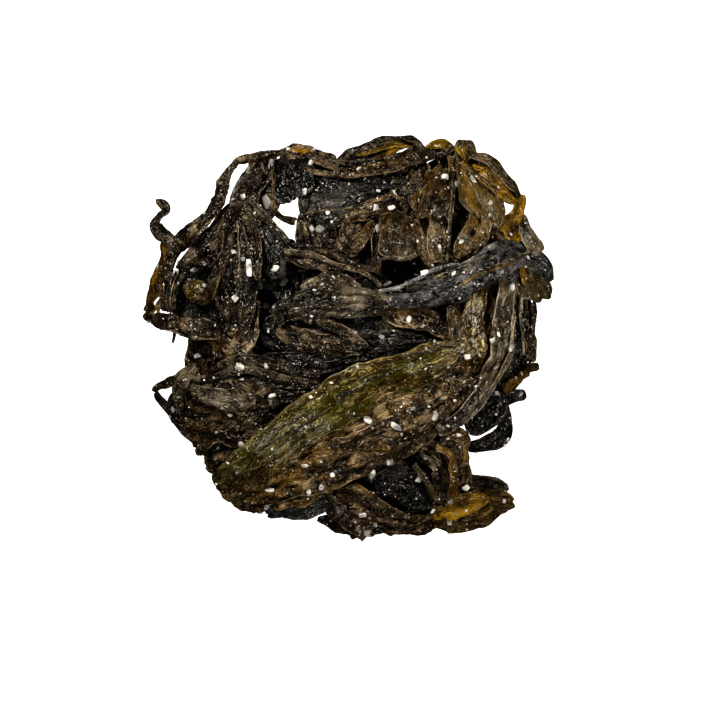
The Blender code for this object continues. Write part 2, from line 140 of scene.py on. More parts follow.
# %% [markdown]
# ## The frond material
# Each finish is the same skin in other colours. Object coordinates give patches and a dry film that run
# on from frond to frond; the film lies on the crests and is partly a painted sheen. The strip's own UV map
# gives what follows the strip. The skin is crumpled into flat facets, like paper: the cells of three
# Voronoi patterns, each with its own brightness and lean. Pale lines along some of their rims and along
# the wrinkles are painted highlights. A wrinkle is where a noise crosses its middle value. Three
# attributes of the strips do the rest: `raised` tells where a fold stands up, so that shade is painted
# into the valleys and highlights onto the crests, `margin` where the cut edge is, which is painted paler,
# partly as a highlight, and `tint` makes one frond darker than its neighbour.


# %% Node helpers
def add_node(tree, kind, **settings):
    """A shader node with its settings and its unlinked inputs filled in."""
    node = tree.nodes.new(kind)
    for key, value in settings.items():
        if hasattr(node, key):
            setattr(node, key, value)
        else:
            node.inputs[key.replace("_", " ")].default_value = value
    return node


def noise_node(tree, coordinates, scale, detail=3.0):
    """A noise on the given coordinates, about 0.5 in the middle."""
    node = add_node(tree, "ShaderNodeTexNoise", Scale=scale, Detail=detail, Roughness=0.55)
    tree.links.new(coordinates, node.inputs["Vector"])
    return node.outputs["Fac"]


def ranged(tree, value, low, high, to_low=0.0, to_high=1.0):
    """The value brought from one range into another, and held there."""
    node = add_node(tree, "ShaderNodeMapRange", clamp=True)
    for key, number in (("From Min", low), ("From Max", high), ("To Min", to_low), ("To Max", to_high)):
        node.inputs[key].default_value = number
    tree.links.new(value, node.inputs["Value"])
    return node.outputs["Result"]


def mixed(tree, share, first, second):
    """Two colours mixed; each is a colour or a socket."""
    node = add_node(tree, "ShaderNodeMix", data_type="RGBA", clamp_factor=True)
    tree.links.new(share, node.inputs["Factor"])
    for key, colour in (("A", first), ("B", second)):
        socket = [one for one in node.inputs if one.name == key and one.type == "RGBA"][0]
        if isinstance(colour, tuple):
            socket.default_value = colour
        else:
            tree.links.new(colour, socket)
    return [one for one in node.outputs if one.type == "RGBA"][0]


def maths(tree, first, second, operation="MULTIPLY"):
    """A step of arithmetic; each input is a number or a socket."""
    node = add_node(tree, "ShaderNodeMath", operation=operation)
    for socket, value in zip(node.inputs, (first, second)):
        if isinstance(value, (int, float)):
            socket.default_value = value
        else:
            tree.links.new(value, socket)
    return node.outputs["Value"]


def attribute(tree, name):
    """A value that is stored on the points of the mesh."""
    return add_node(tree, "ShaderNodeAttribute", attribute_name=name).outputs["Fac"]


def from_crest(tree, coordinates, scale):
    """How far a noise is from its middle value: 0 along the wandering crest of a wrinkle."""
    away = maths(tree, noise_node(tree, coordinates, scale, detail=2.0), 0.5, "SUBTRACT")
    return maths(tree, away, 0.0, "ABSOLUTE")


def vector_step(tree, operation, first, second, third=None):
    """A step of vector arithmetic; a number triple or a socket for each input."""
    node = add_node(tree, "ShaderNodeVectorMath", operation=operation)
    for socket, value in zip(node.inputs, (first, second, third)):
        if isinstance(value, tuple):
            socket.default_value = value
        elif value is not None:
            tree.links.new(value, socket)
    return node.outputs["Value" if operation == "DOT_PRODUCT" else "Vector"]


def facets(tree, coordinates, scale):
    """The flat cells of a crumpled sheet: brightness, height of the leaning cell, nearness to its rim."""
    cells = add_node(tree, "ShaderNodeTexVoronoi", voronoi_dimensions="2D", Scale=scale)
    rims = add_node(tree, "ShaderNodeTexVoronoi", voronoi_dimensions="2D", Scale=scale,
                    feature="DISTANCE_TO_EDGE")
    for node in (cells, rims):
        tree.links.new(coordinates, node.inputs["Vector"])
    from_middle = vector_step(tree, "SUBTRACT", coordinates, cells.outputs["Position"])
    lean = vector_step(tree, "SUBTRACT", cells.outputs["Color"], (0.5, 0.5, 0.5))
    bright = add_node(tree, "ShaderNodeSeparateXYZ")
    tree.links.new(cells.outputs["Color"], bright.inputs["Vector"])
    height = vector_step(tree, "DOT_PRODUCT", from_middle, lean)
    return bright.outputs["Z"], height, rims.outputs["Distance"]


# %% The frond material
PATCHES, FILM, DUST = 190.0, 260.0, 2600.0
BROAD_FACETS, FINE_FACETS, FINEST_FACETS = 3.2, 7.5, 14.0
WAVERING, THIN_SPOTS, WRINKLES, LONG_LINES = 5.0, 1.7, 7.0, 7.0
FACET_SHARE, FACET_LEAN = 0.16, 0.9
STRIP_UNIT = 10.0


def frond_material(name):
    """The skin of a frond in one finish."""
    colours, thin_share, gloss, crumple, long_lines = FINISHES[name]
    # The third colour is a dry salt film and also the colour of painted highlights; the fourth is a painted
    # glow of thin spots.
    deep, body, film_and_highlight, thin = (daylight(*colour) for colour in colours)
    material = bpy.data.materials.new("wakame_" + name)
    material.use_nodes = True
    tree = material.node_tree
    shader = tree.nodes["Principled BSDF"]
    where = add_node(tree, "ShaderNodeTexCoord")
    place, strip = where.outputs["Object"], where.outputs["UV"]
    patches = noise_node(tree, place, PATCHES)
    film = noise_node(tree, place, FILM, detail=4.0)
    wavering = add_node(tree, "ShaderNodeTexNoise", Scale=WAVERING, Detail=2.0)
    tree.links.new(strip, wavering.inputs["Vector"])
    bent = vector_step(tree, "MULTIPLY_ADD", wavering.outputs["Color"], (0.5, 0.5, 0.5), strip)
    along = {share: vector_step(tree, "MULTIPLY", bent, (1.0, share, 1.0)) for share in (0.3, 0.4, 0.07)}
    spots = noise_node(tree, along[0.3], THIN_SPOTS, detail=2.0)
    broad, broad_height, _ = facets(tree, bent, BROAD_FACETS)
    fine, fine_height, fine_rim = facets(tree, bent, FINE_FACETS)
    finest, finest_height, finest_rim = facets(tree, along[0.4], FINEST_FACETS)
    wrinkles = from_crest(tree, along[0.4], WRINKLES)
    raised = attribute(tree, "raised")

    by_facet = maths(tree, maths(tree, fine, FACET_SHARE), maths(tree, broad, FACET_SHARE), "ADD")
    colour = mixed(tree, ranged(tree, maths(tree, patches, by_facet, "ADD"), 0.57, 0.74), deep, body)
    # Thin spots: a painted glow of light coming through a single layer, in the fourth colour.
    spotted = ranged(tree, spots, 0.66 - 0.3 * thin_share, 0.8 - 0.3 * thin_share)
    colour = mixed(tree, spotted, colour, thin)
    # A dry film on the crests, partly a dry salt film and partly a painted sheen where the folds catch the
    # light.
    film_and_sheen = ranged(tree, maths(tree, film, by_facet, "ADD"), 0.72, 0.82)
    film_and_sheen = maths(tree, film_and_sheen, ranged(tree, raised, 0.25, 0.5))
    colour = mixed(tree, maths(tree, film_and_sheen, 0.5 * crumple), colour, film_and_highlight)
    # Painted shade: the valleys between the folds are darkened towards the deep colour.
    colour = mixed(tree, ranged(tree, raised, 0.45, 0.1, 0.0, 0.95), colour, deep)

    # Painted highlights: pale lines along the facet rims, the wrinkles and the long creases, brightest on
    # the crests.
    line = maths(tree, ranged(tree, fine_rim, 0.02, 0.07, 1.0, 0.0), ranged(tree, finest, 0.35, 0.75))
    finest_line = maths(tree, ranged(tree, finest_rim, 0.02, 0.06, 0.5, 0.0), fine)
    line = maths(tree, line, finest_line, "MAXIMUM")
    line = maths(tree, line, ranged(tree, wrinkles, 0.0, 0.022, 0.9, 0.0), "MAXIMUM")
    line = maths(tree, line, ranged(tree, film, 0.36, 0.56, 0.1, 1.0))
    line = maths(tree, line, crumple)
    long_line = ranged(tree, from_crest(tree, along[0.07], LONG_LINES), 0.0, 0.02, 1.0, 0.0)
    long_line = maths(tree, long_line, maths(tree, ranged(tree, film, 0.38, 0.5), long_lines))
    line = maths(tree, line, long_line, "MAXIMUM")
    line = maths(tree, line, ranged(tree, raised, 0.15, 0.55, 0.1, 1.0))
    # The cut edge is painted paler: partly a paler dried margin, partly a painted highlight where it catches
    # the light.
    edge_film_and_highlight = ranged(tree, film, 0.4, 0.52, 0.2, min(0.85, 0.05 + crumple))
    edge = maths(tree, attribute(tree, "margin"), edge_film_and_highlight)
    colour = mixed(tree, maths(tree, maths(tree, line, 0.8), edge, "MAXIMUM"), colour, film_and_highlight)

    dust = noise_node(tree, place, DUST, detail=2.0)
    salted = maths(tree, ranged(tree, dust, 0.7, 0.76), ranged(tree, film, 0.45, 0.6, 0.0, 0.7))
    colour = mixed(tree, salted, colour, SALT_BLOOM)
    colour = mixed(tree, ranged(tree, attribute(tree, "tint"), 0.0, 1.0, 0.0, 0.6), colour, deep)
    tree.links.new(colour, shader.inputs["Base Color"])
    roughness = ranged(tree, film, 0.35, 0.65, gloss - 0.18, gloss + 0.02)
    tree.links.new(roughness, shader.inputs["Roughness"])
    shader.inputs["IOR"].default_value = 1.5

    relief = maths(tree, maths(tree, fine_height, 0.5), maths(tree, finest_height, 0.35), "ADD")
    relief = maths(tree, relief, maths(tree, broad_height, 0.7), "ADD")
    relief = maths(tree, relief, maths(tree, wrinkles, -0.3), "ADD")
    relief = maths(tree, relief, FACET_LEAN * crumple * STRIP_UNIT * MM)
    bump = add_node(tree, "ShaderNodeBump", Strength=1.0, Distance=1.0)
    tree.links.new(relief, bump.inputs["Height"])
    tree.links.new(bump.outputs["Normal"], shader.inputs["Normal"])
    return material


MATERIALS = {name: frond_material(name) for name in FINISHES}
print("frond materials:", len(MATERIALS))

# %% [markdown]
# ## A smooth line through a few places
# A frond's middle line is drawn through a few listed places. A curve through them, evenly spaced
# along its length, keeps every square of the strip about the same size, so that wrinkles neither
# stretch nor bunch up.


# %% Smooth lines and slow random changes
def smooth_line(stations, cell):
    """Evenly spaced points along a smooth curve through the stations, and how far along each lies."""
    known = np.array(stations, float)
    gaps = np.linalg.norm(np.diff(known[:, :3], axis=0), axis=1)
    knots = np.concatenate([[0], np.cumsum(gaps)])
    slopes = np.diff(known, axis=0) / gaps[:, None]
    turns = [slopes[0]]
    for i in range(1, len(gaps)):
        turns.append((slopes[i] * gaps[i - 1] + slopes[i - 1] * gaps[i]) / (gaps[i - 1] + gaps[i]))
    turns = np.array(turns + [slopes[-1]])
    count = max(6, int(knots[-1] / cell) + 1)
    along = np.linspace(0, knots[-1], count)
    k = np.clip(np.searchsorted(knots, along, side="right") - 1, 0, len(gaps) - 1)
    t = ((along - knots[k]) / gaps[k])[:, None]
    gap = gaps[k][:, None]
    line = (2 * t**3 - 3 * t**2 + 1) * known[k] + (t**3 - 2 * t**2 + t) * gap * turns[k]
    line += (3 * t**2 - 2 * t**3) * known[k + 1] + (t**3 - t**2) * gap * turns[k + 1]
    return line, along


def wander(along, step, draws):
    """A slow random change between -1 and 1, with a new value about every step mm."""
    knots = np.arange(0, along[-1] + 2 * step, step)
    values = draws.uniform(-1, 1, len(knots))
    k = np.minimum((along / step).astype(int), len(knots) - 2)
    t = along / step - k
    t = t * t * (3 - 2 * t)
    return values[k] * (1 - t) + values[k + 1] * t


# %% [markdown]
# ## Bending a grid into a frond
# A flat grid is added at the size of the strip, then every row of it is laid across the middle line. A
# row starts as a straight line and is bent by a heading angle: the crown bends it evenly, like a gutter
# or a rolled leaf, and the pleats turn it left and right, so that no row gets longer as it folds. That
# is how a drying frond shrinks: in width, and hardly at all in length. The margins are waved, and the
# ends are blunt and ragged, because a frond is torn or cut there.


# %% Frond grids
OUT_RISE = 42.0
END_ROUNDING = 1.8
RAGGED_SHARE, TOOTH_STEP = 0.03, 2.6
WIDTH_CHANGE, PATH_CHANGE, CHANGE_STEP = 0.1, 0.25, 5.0


def directions(line, lifted):
    """The way ahead, the way across and the way up at each point of a middle line."""
    ahead = np.gradient(line[:, :3], axis=0)
    ahead /= np.linalg.norm(ahead, axis=1)[:, None]
    rise = OUT_RISE if lifted else 0.0
    out = np.stack([line[:, 0], line[:, 1], 1.6 * (line[:, 2] - RIM_LEVEL) + rise], axis=1)
    out /= np.linalg.norm(out, axis=1)[:, None]
    across = np.cross(ahead, out)
    across /= np.maximum(np.linalg.norm(across, axis=1), 1e-6)[:, None]
    return ahead, across, np.cross(across, ahead)


def row_shapes(half, along, columns, crown, fold, wave, draws):
    """How far across and how high each point of each row lies, in mm."""
    share = np.linspace(-1, 1, columns)[None, :]
    drift = 2.2 * wander(along, 9.0, draws)[:, None]
    drift_b = 3.0 * wander(along, 6.0, draws)[:, None]
    reach = share * half.max()
    strength = 0.75 + 0.45 * wander(along, 7.0, draws)[:, None] * np.cos(math.pi * share + drift)
    pleats = np.tanh(2.2 * np.sin(math.tau * reach / wave + drift + 0.8 * np.sin(0.7 * reach + drift_b)))
    pleats = pleats + 0.4 * np.sin(math.tau * reach / (0.47 * wave) + drift_b)
    bend = math.radians(crown) * (1 + 0.35 * wander(along, 12.0, draws)[:, None])
    heading = -bend * share + math.radians(fold) * strength * pleats / 1.3
    step = 2 * half[:, None] / (columns - 1)
    side = np.cumsum(np.cos(heading) * step, axis=1)
    rise = np.cumsum(np.sin(heading) * step, axis=1)
    middle = columns // 2
    side -= side[:, middle : middle + 1]
    rise -= rise.mean(axis=1)[:, None]
    size = half[:, None] / np.maximum(np.abs(side).max(axis=1), 0.3 * half)[:, None]
    return side * size, rise * size


def torn_ends(along, widest, columns, draws):
    """How far each point is moved lengthwise, so that both ends are ragged."""
    moved = np.zeros((len(along), columns))
    for from_end in (along, along[-1] - along):
        near = np.clip(1 - from_end / max(widest, 1.0), 0, 1)[:, None]
        teeth = wander(np.linspace(0, 2 * widest, columns), TOOTH_STEP, draws)[None, :]
        moved += near * teeth * RAGGED_SHARE * 2 * widest
    return moved


def frond_points(name, stations, crown, roll, fold, wave, ruffle, cell, lifted):
    """The corners of a frond's grid, row by row, in mm on the plan."""
    draws = np.random.default_rng(zlib.crc32(name.encode()))
    stations = np.array(stations, float)
    if lifted:
        stations[:, 2] += dome_height(stations[:, 0], stations[:, 1])
    line, along = smooth_line(stations, cell)
    length = along[-1]
    half = np.maximum(line[:, 3], 0.5) / 2
    half = half * (1 + WIDTH_CHANGE * wander(along, CHANGE_STEP, draws))
    from_end = np.clip(np.minimum(along, length - along) / np.minimum(0.9 * half, END_ROUNDING), 0, 1)
    half = half * (0.6 + 0.4 * np.sqrt(from_end * (2 - from_end)))
    line[:, :3] += PATH_CHANGE * np.stack([wander(along, CHANGE_STEP, draws) for axis in range(3)], axis=1)
    columns = max(5, int(2 * half.max() / math.cos(math.radians(0.7 * fold)) / cell) | 1)
    side, rise = row_shapes(half, along, columns, crown, fold, wave, draws)
    share = np.linspace(-1, 1, columns)[None, :]
    for edge in (-1, 1):
        flutter = wander(along, 3.2, draws)[:, None] + 0.5 * wander(along, 1.4, draws)[:, None]
        lobes = 0.1 * wander(along, 3.4, draws)[:, None] + 0.02 * wander(along, 1.1, draws)[:, None]
        rise = rise + ruffle * flutter * np.clip(edge * share, 0, 1) ** 3
        side = side * (1 + lobes * (edge * share > 0))
    ahead, across, up = directions(line, lifted)
    turn = np.radians(roll + (10 + 0.2 * crown) * wander(along, 13.0, draws))[:, None]
    leaning = (across * np.cos(turn) + up * np.sin(turn))[:, None, :]
    rising = (up * np.cos(turn) - across * np.sin(turn))[:, None, :]
    points = line[:, None, :3] + leaning * side[:, :, None] + rising * rise[:, :, None]
    points += ahead[:, None, :] * torn_ends(along, half.max(), columns, draws)[:, :, None]
    z = points[:, :, 2]
    points[:, :, 2] = np.maximum(z, FLOOR_GAP + 0.25 * rise * (z < FLOOR_GAP))
    return points, along, 2 * half.max()


print("rows round off over", END_ROUNDING, "mm at each end")

# %% [markdown]
# ## Wrinkles, thickness and a place in the heap
# The strip is then finished with modifiers, as by hand. Two Voronoi textures, whose cells meet in
# straight ridges, crumple and dent it, and a hard Clouds texture, which has sharp lines where its value
# turns, raises fine creases. All read a UV map that is measured in centimetres and drawn out along the
# strip, so the creases run lengthwise. How far each point stands out is kept as an attribute for the
# material. Solidify gives the blade its thickness.


# %% Wrinkle textures and the frond maker
def facet_texture(name, scale):
    """Cones that meet in straight sharp ridges, like the facets of crumpled paper."""
    texture = bpy.data.textures.new(name, "VORONOI")
    texture.noise_scale = scale
    texture.weight_1 = 1.0
    return texture


CRUMPLE = facet_texture("crumple", 0.52)
DENTS = facet_texture("dents", 0.2)
CREASES = bpy.data.textures.new("creases", "CLOUDS")
CREASES.noise_type = "HARD_NOISE"
CREASES.noise_scale = 0.34
CREASES.noise_depth = 1
# texture, height in mm, middle level
SKIN_STEPS = ((CRUMPLE, 2.0, 0.5), (DENTS, -0.35, 0.5), (CREASES, -0.35, 0.35))
DRAWN_OUT = 2.0
SHRUNK, USUAL_THICKNESS = 0.6, 0.5
RIM_REACH, CUT_REACH = 1.6, 0.34


def coordinates(mesh):
    """The mesh's points as rows of x, y, z."""
    flat = np.empty(3 * len(mesh.vertices))
    mesh.vertices.foreach_get("co", flat)
    return flat.reshape(-1, 3)


def keep_above(mesh, level):
    """Lift what lies below a level in mm up to it, and hand back the points."""
    points = coordinates(mesh)
    points[:, 2] = np.maximum(points[:, 2], level * MM)
    mesh.vertices.foreach_set("co", points.ravel())
    mesh.update()
    return points


def store(mesh, name, values):
    """Keep a value for each point of the mesh as an attribute."""
    mesh.attributes.new(name, "FLOAT", "POINT").data.foreach_set("value", values)


def displace(piece, texture, strength, middle):
    """Push the strip's points along their normals by a texture on its UV map, and keep the result."""
    push = piece.modifiers.new(texture.name, "DISPLACE")
    push.texture = texture
    push.texture_coords = "UV"
    push.uv_layer = "strip"
    push.strength = strength * MM
    push.mid_level = middle
    bpy.ops.object.modifier_apply(modifier=push.name)


def lay_grid(name, points, along, width):
    """A grid primitive of as many squares as the frond needs, laid onto its points."""
    rows, columns = points.shape[:2]
    bpy.ops.mesh.primitive_grid_add(x_subdivisions=columns - 1, y_subdivisions=rows - 1, size=1)
    piece = bpy.context.object
    piece.name = name
    mesh = piece.data
    flat = coordinates(mesh)
    column = np.rint((flat[:, 0] + 0.5) * (columns - 1)).astype(int)
    row = np.rint((flat[:, 1] + 0.5) * (rows - 1)).astype(int)
    mesh.vertices.foreach_set("co", on_plan(points[row, column]).ravel())
    layer = mesh.uv_layers[0]
    layer.name = "strip"
    uv = np.empty(2 * len(layer.data))
    layer.data.foreach_get("uv", uv)
    uv = uv.reshape(-1, 2)
    offset = (zlib.crc32(name.encode()) % 97) / 3
    uv[:, 0] = uv[:, 0] * width / STRIP_UNIT + offset
    uv[:, 1] = uv[:, 1] * along[-1] / STRIP_UNIT / DRAWN_OUT + offset
    layer.data.foreach_set("uv", uv.ravel())
    mesh.update()
    return piece, row * columns + column


def blurred(grid, reach):
    """A grid of points, each replaced by the mean of those up to some cells away."""
    for axis in (0, 1):
        padding = [(0, 0)] * 3
        padding[axis] = (reach, reach)
        padded = np.pad(grid, padding, mode="edge")
        count = grid.shape[axis]
        moved = (padded.take(range(k, k + count), axis=axis) for k in range(2 * reach + 1))
        grid = sum(moved) / (2 * reach + 1)
    return grid


def margins(shape, cell, reach):
    """1 along the rim of a strip, falling to 0 at a reach in mm."""
    rows, columns = np.meshgrid(np.arange(shape[0]), np.arange(shape[1]), indexing="ij")
    from_side = np.minimum(columns, shape[1] - 1 - columns)
    from_rim = np.minimum(np.minimum(rows, shape[0] - 1 - rows), from_side)
    return np.clip(1 - from_rim * cell / reach, 0, 1)


def standing_out(mesh, order, shape, cell):
    """How each point lies against the strip round it: 0 in a deep valley, 1 on a crest."""
    normals = np.empty(3 * len(mesh.vertices))
    mesh.vertices.foreach_get("normal", normals)
    places, upright = np.empty((len(order), 3)), np.empty((len(order), 3))
    places[order] = coordinates(mesh) / MM
    upright[order] = normals.reshape(-1, 3)
    places, upright = places.reshape(*shape, 3), upright.reshape(*shape, 3)
    proud = np.zeros(shape)
    for reach in (0.8, 1.9):
        proud += ((places - blurred(places, max(1, round(reach / cell)))) * upright).sum(axis=2)
    share = np.clip(0.5 + 0.22 * proud / max(0.02, proud.std()), 0, 1)
    rim = margins(shape, cell, RIM_REACH)
    return (share * (1 - rim) + 0.6 * rim).ravel()[order]


def make_frond(name, finish, crown, roll, fold, wave, ruffle, thick, stations,
               cell=CELL, lifted=True, relief=1.0):
    """One finished frond, in its place in the heap."""
    points, along, width = frond_points(name, stations, crown, roll, fold, wave, ruffle, cell, lifted)
    piece, order = lay_grid(name, points, along, width)
    mesh, shape = piece.data, points.shape[:2]
    crumple = FINISHES[finish][3] * relief * min(1, 0.35 + width / 10)
    for texture, strength, middle in SKIN_STEPS:
        displace(piece, texture, strength * crumple, middle)
    store(mesh, "raised", standing_out(mesh, order, shape, cell))
    store(mesh, "margin", margins(shape, cell, CUT_REACH).ravel()[order])
    store(mesh, "tint", np.full(len(mesh.vertices), (zlib.crc32(name.encode()) % 101) / 100))
    wall = piece.modifiers.new("wall", "SOLIDIFY")
    wall.thickness = SHRUNK * thick * MM
    wall.offset = 0
    bpy.ops.object.modifier_apply(modifier="wall")
    keep_above(piece.data, 0.02)
    piece.data.materials.append(MATERIALS[finish])
    bpy.ops.object.shade_smooth()
    piece.select_set(False)
    return piece


def place(piece):
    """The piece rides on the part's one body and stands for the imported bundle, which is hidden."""
    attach(piece, "root")
    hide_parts(NODE)


def join(name, pieces):
    """Fronds that lie together, joined into one piece."""
    bpy.ops.object.select_all(action="DESELECT")
    for piece in pieces:
        piece.select_set(True)
    bpy.context.view_layer.objects.active = pieces[0]
    if len(pieces) > 1:
        bpy.ops.object.join()
    whole = bpy.context.object
    whole.name = whole.data.name = name
    whole.select_set(False)
    place(whole)
    count = sum(len(face.vertices) - 2 for face in whole.data.polygons)
    print(f"{name}: {len(pieces)} fronds, {count} triangles")
    return whole


# %% [markdown]
# ## The fronds that show
# Each entry below is one frond, up to its semicolon: its name and finish, how far it is rolled across
# (crown) and leaned over (roll), the angle and spacing of its pleats, how much its margin flutters, and
# its thickness where that isn't the usual half millimetre. After the colon comes the route of its
# middle line, a few given places: x, y, height above the dome and width. All measures are in
# millimetres and degrees. The first group is the broad frond with its olive midrib, which crosses the
# lower half, and the brown blade that it lies on.


# %% The broad frond with the midrib
def numbers(text):
    """Rows of numbers, parted by commas."""
    return [[float(value) for value in row.split()] for row in text.split(",")]


def frond_rows(table):
    """The fronds of a table: name, finish, six measures and the route of each."""
    rows = []
    for entry in table.split(";")[:-1]:
        head, route = entry.split(":")
        name, finish, *measures = head.split()
        measures = numbers(" ".join(measures))[0]
        if len(measures) < 6:
            measures.append(USUAL_THICKNESS)
        rows.append((name, finish, *measures, numbers(route)))
    return rows


# margin_shine is a narrow pale strip that paints a highlight along the right margin.
MIDRIB_FRONDS = """
main_blade blade 15 0 24 5.2 .5: 33 14.5 1.5 6, 32 5 2.5 8, 29.5 -3 3 10, 24 -11 3 12, 7 -21 3 14,
  -8 -28 3 12.5, -17 -32.5 2.5 11.5, -25.3 -36 1.5 8.4;
main_rib rib 16 -5 12 2.4 .05 1.4: -27.8 -33.6 2.5 8.5, -20 -28 3.4 9.6, -12 -21 4 10.2, -3 -14.8 4.3 10.8,
  6 -10.2 4.3 10, 14 -7 4.2 9, 21 -4.4 3.9 7.8, 26 -2.5 3.4 5.4;
rising_stem rib 25 5 12 2.4 .1 1.4: 29.3 13 3 3.5, 28.2 8 4 4.3, 27 3 4 4.5, 27.5 -2 4 6, 26.5 -7 3 7;
stem_blade tan 20 -5 30 2.4 .6: 23.5 8 2.5 3, 23.2 4.5 3.5 4, 24 0 4 3.5, 25.8 -4 3.5 2.5;
right_margin film 12 14 14 3 .4: 35 15 3 5.8, 34.7 8.5 4.5 6.2, 34 1.5 5 6, 32.8 -5 5 5.2,
  29.6 -10.8 4.5 4.8, 25.3 -16.6 3.5 4.2, 19.5 -20.3 2.5 3;
margin_shine film 40 14 8 1.6 .3 .4: 36.6 12 4 .6, 36.4 5 5.4 .9, 35.8 -1 6 1, 34 -6.5 5.8 .9,
  30.6 -12.4 4.8 .6;
under_fold blade 15 5 24 3.4 .5: 22 -13.5 3.8 4, 11 -19.5 4.4 6.5, -3.5 -25 3.8 5;
"""

# %% The brown blade at its left end
BLADE_FRONDS = """
left_blade blade 12 -5 42 4.6 .5: -4 -12.5 1 5, -11 -14 2 9, -22 -16.5 2.5 13, -30 -17.3 1.5 14.5,
  -36 -17.3 -1.5 13;
blade_patch film 10 0 30 2.6 .4 .4: -19.5 -14 3 2.5, -24 -13.4 3.8 4.4, -29 -13 3.6 4, -33 -12 2.8 3;
lower_blade blade 15 0 40 3.6 .5: -11 -20.5 1 5, -19 -23 2 9, -26.5 -25 1 11.5, -31.8 -26.3 -1 9.5;
pleat_a dark 60 10 20 1.8 .3: -29.5 -7.8 2 1.8, -25 -5.4 4 2.2, -20 -5.2 4 2.4, -14 -6.6 3.5 2.2,
  -6 -8.3 2 1.6;
pleat_b pale 60 10 20 1.8 .3: -35 -9.6 1.5 1.6, -28 -8.9 3.5 2, -22.5 -7.2 4.5 2.2, -17.5 -8 4 2,
  -13 -9.6 3 1.8, -7.5 -8.6 2 1.4;
pleat_c dark 60 5 20 1.8 .3: -35.5 -11 1 1.8, -27 -10.4 3 2.2, -19 -9.6 3 2.2, -12 -10.4 2.5 1.8,
  -6 -10.2 2 1.6;
pale_fold pale 50 5 30 1.6 .4: -32.5 -6.3 2 2.6, -35 -8.2 2.5 3.6, -36.6 -11.5 2 3.6, -35.8 -15.5 1 2.8;
"""

# %% [markdown]
# The black band is a folded strap of old, thick blade. It runs over the top of the heap from the right
# and loses itself in the tangle that fills the valley under it.

# %% The black band and the tangle under it
BAND_FRONDS = """
black_band slate 20 0 22 3.4 .2 .8: 44.6 12.5 -.5 2.6, 43.2 16.2 3 5.2, 39 18.4 6 7, 33.5 17.3 7 7,
  27.5 14.3 6.8 5.8, 21 12 5.5 4, 13 10.6 4 2.6;
band_edge slate 40 10 30 2 .3: 36.5 13.8 4 2.2, 30.5 12.2 5 3, 24.5 9.6 5 3.4, 16.5 8.2 4.5 3.4, 9 7.8 3.5 3;
band_tail pale 25 0 50 2.2 .6: 9 7 3.5 4.5, 2 7.4 4.5 6.8, -5 7.4 4.5 7, -11 6.4 4 5.5, -15.5 4 3 4.5;
tail_leaf pale 15 0 40 2.6 .6: 3 10.4 3.5 3, -4 11.6 4.5 4.8, -9.5 10 3.5 4;
strand_mat dark 10 0 40 2.4 .6: -13.5 18 2.2 3, -8 17 3 4.5, -2 15.5 3.2 4, 3 13.5 2.5 3;
cross_strand pale 60 5 10 1.6 .2: -13 18.6 4 1, -7.5 17.8 5 1, -2 15.6 5.3 1, 4 13.6 4.8 .9, 7.5 10.8 4 .8;
cross_strand_b dark 60 5 10 1.6 .3: -12 19.8 3.4 1.2, -5 18.2 4.4 1.4, 2 15.2 4.6 1.2, 6 14.2 4 1;
cross_strand_c slate 60 5 10 1.6 .2: 6 9.8 4.4 .7, 11 10.6 5.2 .7, 15.5 12.2 5.6 .8, 18.5 14 5.8 .8,
  24.5 15.4 6 .7;
tangle_sheet black 6 0 56 2.6 .7: -18 2 -.6 6, -11 .5 .4 9.5, -3 .6 .6 11, 5 1.2 .4 10, 12 2 .2 9.5,
  19 2.6 .2 9, 25.5 1.2 0 6.5;
tangle_low black 6 0 50 2.4 .7: -19 -6 -.8 4, -12 -5.6 0 6, -4 -4.8 .4 6, 4 -3.6 .6 5, 11 -2.4 .4 4;
tangle_a dark 20 0 58 2.2 .7: -15 1.6 1.4 3, -9.5 -.6 2 4.6, -3 -1.8 2 4.6, 2.5 -3.6 1.4 3;
tangle_c dark 30 0 40 1.6 .5: -9 4.4 2 2, -2 1.6 2.4 2.6, 4.5 -2.5 1.6 2.2;
tangle_d brown 20 0 50 2.2 .6: 8 5 1.4 3.5, 14.5 4 2 5, 21 1.6 1.8 5, 25 -1.6 1 3.5;
fan_tuft tan 30 0 50 2 .7: -29.5 -.5 1 2.5, -27 -2 2.5 5, -24 -3.2 3 5, -20.5 -3 2 3;
"""

# %% [markdown]
# On the left a blade is gathered at a knot and falls in a pleated fan. Thin rolled strands stand round
# it as hoops: they are margins that tore off the blades and curled up into cords as they dried.

